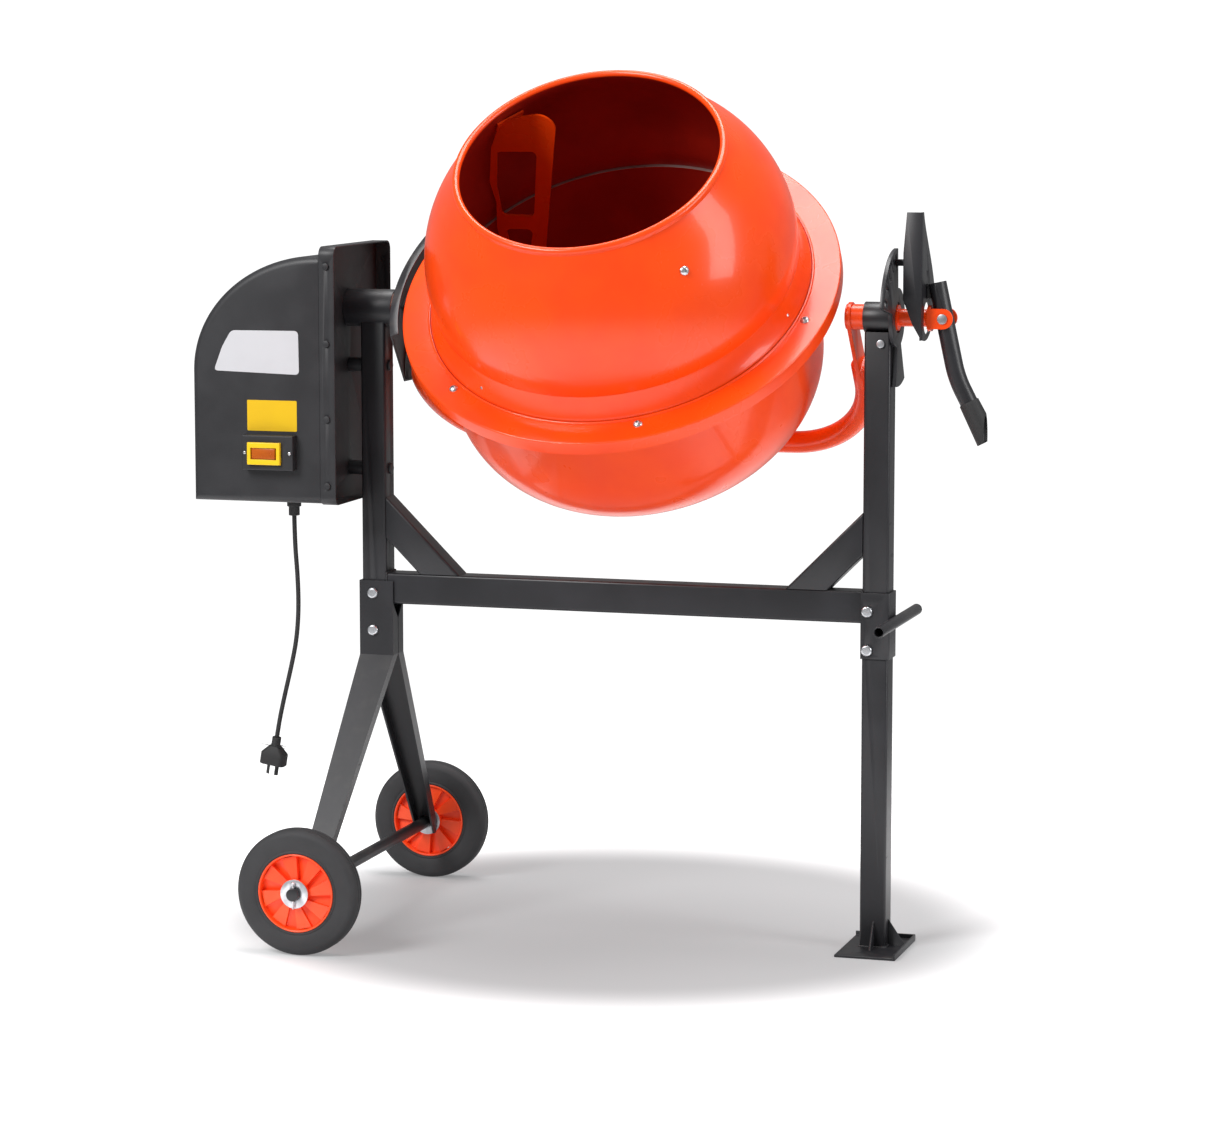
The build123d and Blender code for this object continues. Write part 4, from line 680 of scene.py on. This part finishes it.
def drum():
    paint_inside_shade(turned_piece("drum_upper_shell", upper_profile(), DRUM, "drum", "drum_orange", 192,
                               replaces=["upper_drum"], angle=32))
    paint_inside_shade(turned_piece("drum_lower_bowl", lower_profile(), DRUM, "drum", "drum_orange", 192,
                               replaces=["lower_drum"], angle=32))
    gasket = [(BOLT_CIRCLE - 7, BOWL_TOP + SHEET), (BOLT_CIRCLE - 7, FLANGE_TOP - SHEET)]
    gasket += arc((BOWL_RADIUS - 2.2, SEAM_HEIGHT), 0.9, 70, 290, 8)
    turned_piece("drum_seal_bead", gasket, DRUM, "drum", "sealant", 144, slot="black_rubber",
                 replaces=["drum_seal"])


def drum_fasteners():
    heads_piece("drum_flange_bolts", button_head(7.0, 4.2, 2.4), BOLT_COUNT, BOLT_CIRCLE, BOLT_FIRST,
                FLANGE_TOP, DRUM, "drum", "zinc", replaces=["drum_bolts"])
    for index, angle in enumerate((BELLY_BOLT_ANGLE, BELLY_BOLT_ANGLE + 180)):
        radius, height = on_belly(BELLY_BOLT_LEAN)
        inner = on_belly(BELLY_BOLT_LEAN, 10)
        normal_point(f"blade_bolt_{index + 1}", button_head(7.0, 4.2, 2.4), (radius, height), inner, angle)
    for index, angle in enumerate(RIVETS):
        normal_point(f"flare_rivet_{index + 1}", button_head(3.2, 1.8, 0.6), RIVET_PLACE, RIVET_FOOT, angle)


def normal_point(name, head, place, inner, angle):
    """A screw head on the drum's skin, square to the line from an inner point to an outer one."""
    spin = DRUM @ Matrix.Rotation(radians(angle), 4, "Z")
    outside = spin @ Vector((place[0] * MM, 0, place[1] * MM))
    inside = spin @ Vector((inner[0] * MM, 0, inner[1] * MM))
    head.transform(axes(outside, outside - inside))
    return mesh_piece(name, head, "drum", "zinc")


# ---- Wheels ----
def petal_ring(work, side):
    """One face of the wheel centre: raised petals with slanted valleys between them."""
    outer, inner = RIM_RADIUS - 3.5, HUB_RADIUS - 1
    crest_out, crest_in, valley = 12.5, 15.0, 5.0
    petal_end, valley_start, valley_end = VALLEY_TURNS
    corners = []
    for petal in range(PETALS):
        start = 360 / PETALS * petal
        for turn, height_out, height_in in ((0, crest_out, crest_in), (petal_end, crest_out, crest_in),
                                            (valley_start, valley + 3, valley + 5),
                                            (valley_end, valley, valley + 2)):
            corners.append((start + turn, height_out, height_in))
    lines = []
    for turn, height_out, height_in in corners:
        swirl = radians(turn)
        twist = radians(turn - PETAL_TWIST)
        lines.append((
            work.verts.new(Vector((outer * cos(swirl), outer * sin(swirl), height_out * side)) * MM),
            work.verts.new(Vector((inner * cos(twist), inner * sin(twist), height_in * side)) * MM)))
    for line, following in zip(lines, lines[1:] + lines[:1]):
        work.faces.new((line[0], following[0], following[1], line[1]))
    for line, following in zip(lines, lines[1:] + lines[:1]):
        for level, radius in ((0, outer), (1, inner)):
            foot = [Vector((p.co.x, p.co.y, PETAL_FOOT * side * MM))
                    for p in (line[level], following[level])]
            work.faces.new((line[level], following[level], work.verts.new(foot[1]), work.verts.new(foot[0])))


def wheel(name, side):
    """A wheel centre and its tyre; side is -1 for the front one and 1 for the rear one."""
    joint = JOINTS[name + "_spin"]
    place = axes(Vector(joint["pos_m"]), (0, side, 0))
    end = name.split("_")[0]
    work = bmesh.new()
    rim = [(RIM_RADIUS, -WHEEL_HALF + 1), (RIM_RADIUS, WHEEL_HALF - 1)]
    rim += arc((RIM_RADIUS - 1.5, WHEEL_HALF - 1), 1.5, 0, 180, 5)
    rim += [(RIM_RADIUS - 4.5, 3), (RIM_RADIUS - 4.5, -3)]
    rim += arc((RIM_RADIUS - 1.5, -WHEEL_HALF + 1), 1.5, 180, 360, 5)
    turned(work, rim, Matrix.Identity(4), 96)
    hub = [(AXLE_RADIUS + 0.1, -HUB_HALF), (HUB_RADIUS - 1, -HUB_HALF), (HUB_RADIUS, -HUB_HALF + 1),
           (HUB_RADIUS, HUB_HALF - 1), (HUB_RADIUS - 1, HUB_HALF), (AXLE_RADIUS + 0.1, HUB_HALF)]
    turned(work, hub, Matrix.Identity(4), 64)
    for face in (1, -1):
        petal_ring(work, face)
    mesh = mesh_from(name + "_centre", work)
    mesh.transform(place)
    mesh_piece(f"{end}_wheel_centre", mesh, name, "wheel_orange", replaces=[f"{end}_rim"], angle=25)
    turned_piece(f"{end}_tyre_moulded", tyre_profile(), place, name, "tyre_black", 144,
                 replaces=[f"{end}_tyre"], angle=40)


def tyre_profile():
    """A solid rubber tyre: tread with two shallow grooves, round shoulders and a bead line by the rim."""
    half, shoulder = WHEEL_HALF, 12.0
    side = [(RIM_RADIUS + 0.1, half - 1.5), (RIM_RADIUS + 2.5, half - 0.4), (RIM_RADIUS + 5, half - 1.4),
            (RIM_RADIUS + 8, half), (TYRE_RADIUS - shoulder - 6, half)]
    side += arc((TYRE_RADIUS - shoulder, half - shoulder), shoulder, 84, 8, 10)
    side += [(TYRE_RADIUS, 5.0), (TYRE_RADIUS - 1.2, 4.4), (TYRE_RADIUS - 1.2, 3.4), (TYRE_RADIUS, 2.8)]
    return side + [(r, -z) for r, z in reversed(side)]


# ---- Labels ----
def labels():
    """A blank name panel and a blank yellow label on the front of the cover."""
    front = axes(Vector((0, COVER_LOW.y, 0)), (0, -1, 0))
    panel = [(COVER_HIGH.x - across, COVER_LOW.z - PANEL_DROP + up) for across, up in PANEL_CORNERS]
    prism("name_panel", rounded(panel, 0.007), 0.0005, front, "root", "panel_grey", slot="housing_black")
    low, high = SWITCH_LOW, SWITCH_HIGH
    left, right = low.x + 0.0025, high.x + 0.0005
    bottom, top = high.z + 0.0055, high.z + 0.0525
    corners = [(left, bottom), (right, bottom), (right, top), (left, top)]
    prism("info_label", rounded(corners, 0.002), 0.0004, front, "root", "label_yellow", slot="housing_black")


# ---- All pieces ----
EDGES = {
    "left_post": 0.5, "right_post": 0.5, "crossbar": 0.5, "braces": 0.5, "right_leg": 0.5,
    "leg_bracket": 0.8, "foot_plate": 0.8, "axle": 0.8,
    "axle_washers": 0.5, "split_pins": 0.3, "lift_handle": 0.8, "frame_bolts": 0.5, "left_sleeve": 0.6,
    "right_sleeve": 0.6, "trunnion_bushes": 0.3, "locking_plate": 0.6, "housing_tray": 0.7,
    "housing_spacers": 0.4, "housing_cover": 0.5, "housing_screws": 0.3, "switch_box": 0.4,
    "switch_frame": 0.5, "switch_rocker": 0.6, "cable_gland": 0.8, "plug": 0.8, "yoke_bow": 0.6,
    "bearing_hub": 1.0, "left_trunnion": 0.5, "pinion_guard": 0.8,
    "lever_tube": 0.5, "lever_grip": 0.8, "lever_pin": 0.8, "lever_channel": 0.7, "lever_spring": 0.1,
    "drum_spindle": 0.8, "pinion_gear": 0.3,
}


def carried_over():
    """Give every other CAD node its own finish."""
    for node, piece in frame["nodes"].items():
        piece.data.materials.clear()
        piece.data.materials.append(FINISHES[finish_of(node)])


# ---- Floor and light ----
def area_light(name, place, target, size, power, colour=(1, 1, 1)):
    data = bpy.data.lights.new(name, "AREA")
    data.shape = "RECTANGLE"
    data.size, data.size_y = size
    data.energy = power
    data.color = colour
    light = bpy.data.objects.new(name, data)
    light.location = place
    light.rotation_euler = (Vector(target) - Vector(place)).to_track_quat("-Z", "Y").to_euler()
    bpy.context.scene.collection.objects.link(light)


def floor_paper():
    """White paper with a painted soft shadow under the machine, fading out a few metres away, where the white
    surround takes over.
    """
    paper = Finish("floor_paper", roughness=0.9, emission_strength=0.5)
    where = paper.node("ShaderNodeVectorMath", {"operation": "LENGTH"}, [paper.place()], output="Value")
    # painted soft shadow: darker paper and weaker glow in an ellipse under the machine
    shade = 1 - paper.node("ShaderNodeVectorMath", {"operation": "LENGTH"}, [paper.spread()],
                           output="Value").between(0.7, 1.12)
    plain = paper.mix(paper.noise(0.4).between(0.3, 0.7), rgb(238, 238, 239), rgb(235, 235, 236))
    paper.set("Base Color", paper.mix(shade, plain, rgb(150, 150, 151)))
    paper.set("Emission Color", paper.mix(shade, (1, 1, 1, 1), rgb(176, 176, 177)))
    paper.set("Alpha", 1 - where.between(1.0, 2.4))
    return paper.material


def surround():
    """A world that looks white but lights the scene softly."""
    world = bpy.data.worlds.new("surround")
    world.use_nodes = True
    nodes, links = world.node_tree.nodes, world.node_tree.links
    lit = nodes["Background"]
    lit.inputs["Color"].default_value = (1, 1, 1, 1)
    lit.inputs["Strength"].default_value = WORLD_LIGHT
    seen = nodes.new("ShaderNodeBackground")
    seen.inputs["Color"].default_value = (1, 1, 1, 1)
    seen.inputs["Strength"].default_value = 1.1
    rays = nodes.new("ShaderNodeLightPath")
    choice = nodes.new("ShaderNodeMixShader")
    links.new(rays.outputs["Is Camera Ray"], choice.inputs["Fac"])
    links.new(lit.outputs["Background"], choice.inputs[1])
    links.new(seen.outputs["Background"], choice.inputs[2])
    links.new(choice.outputs["Shader"], nodes["World Output"].inputs["Surface"])
    bpy.context.scene.world = world


def studio():
    """A white floor and surround, and large soft lamps."""
    work = bmesh.new()
    bmesh.ops.create_grid(work, x_segments=1, y_segments=1, size=FLOOR_HALF)
    mesh = mesh_from("floor", work)
    floor = bpy.data.objects.new("floor", mesh)
    mesh.materials.append(floor_paper())
    bpy.context.scene.collection.objects.link(floor)
    surround()
    for name, place, size, power in LAMPS:
        area_light(name, place, LAMP_TARGET, size, power)
    bpy.context.scene.view_settings.view_transform = "Standard"


camera()
for node, width in EDGES.items():
    softened(node, width)
power_cord()
carried_over()
drum()
drum_fasteners()
wheel("front_wheel", -1)
wheel("rear_wheel", 1)
labels()
frame_welds()
switch_screws()
studio()
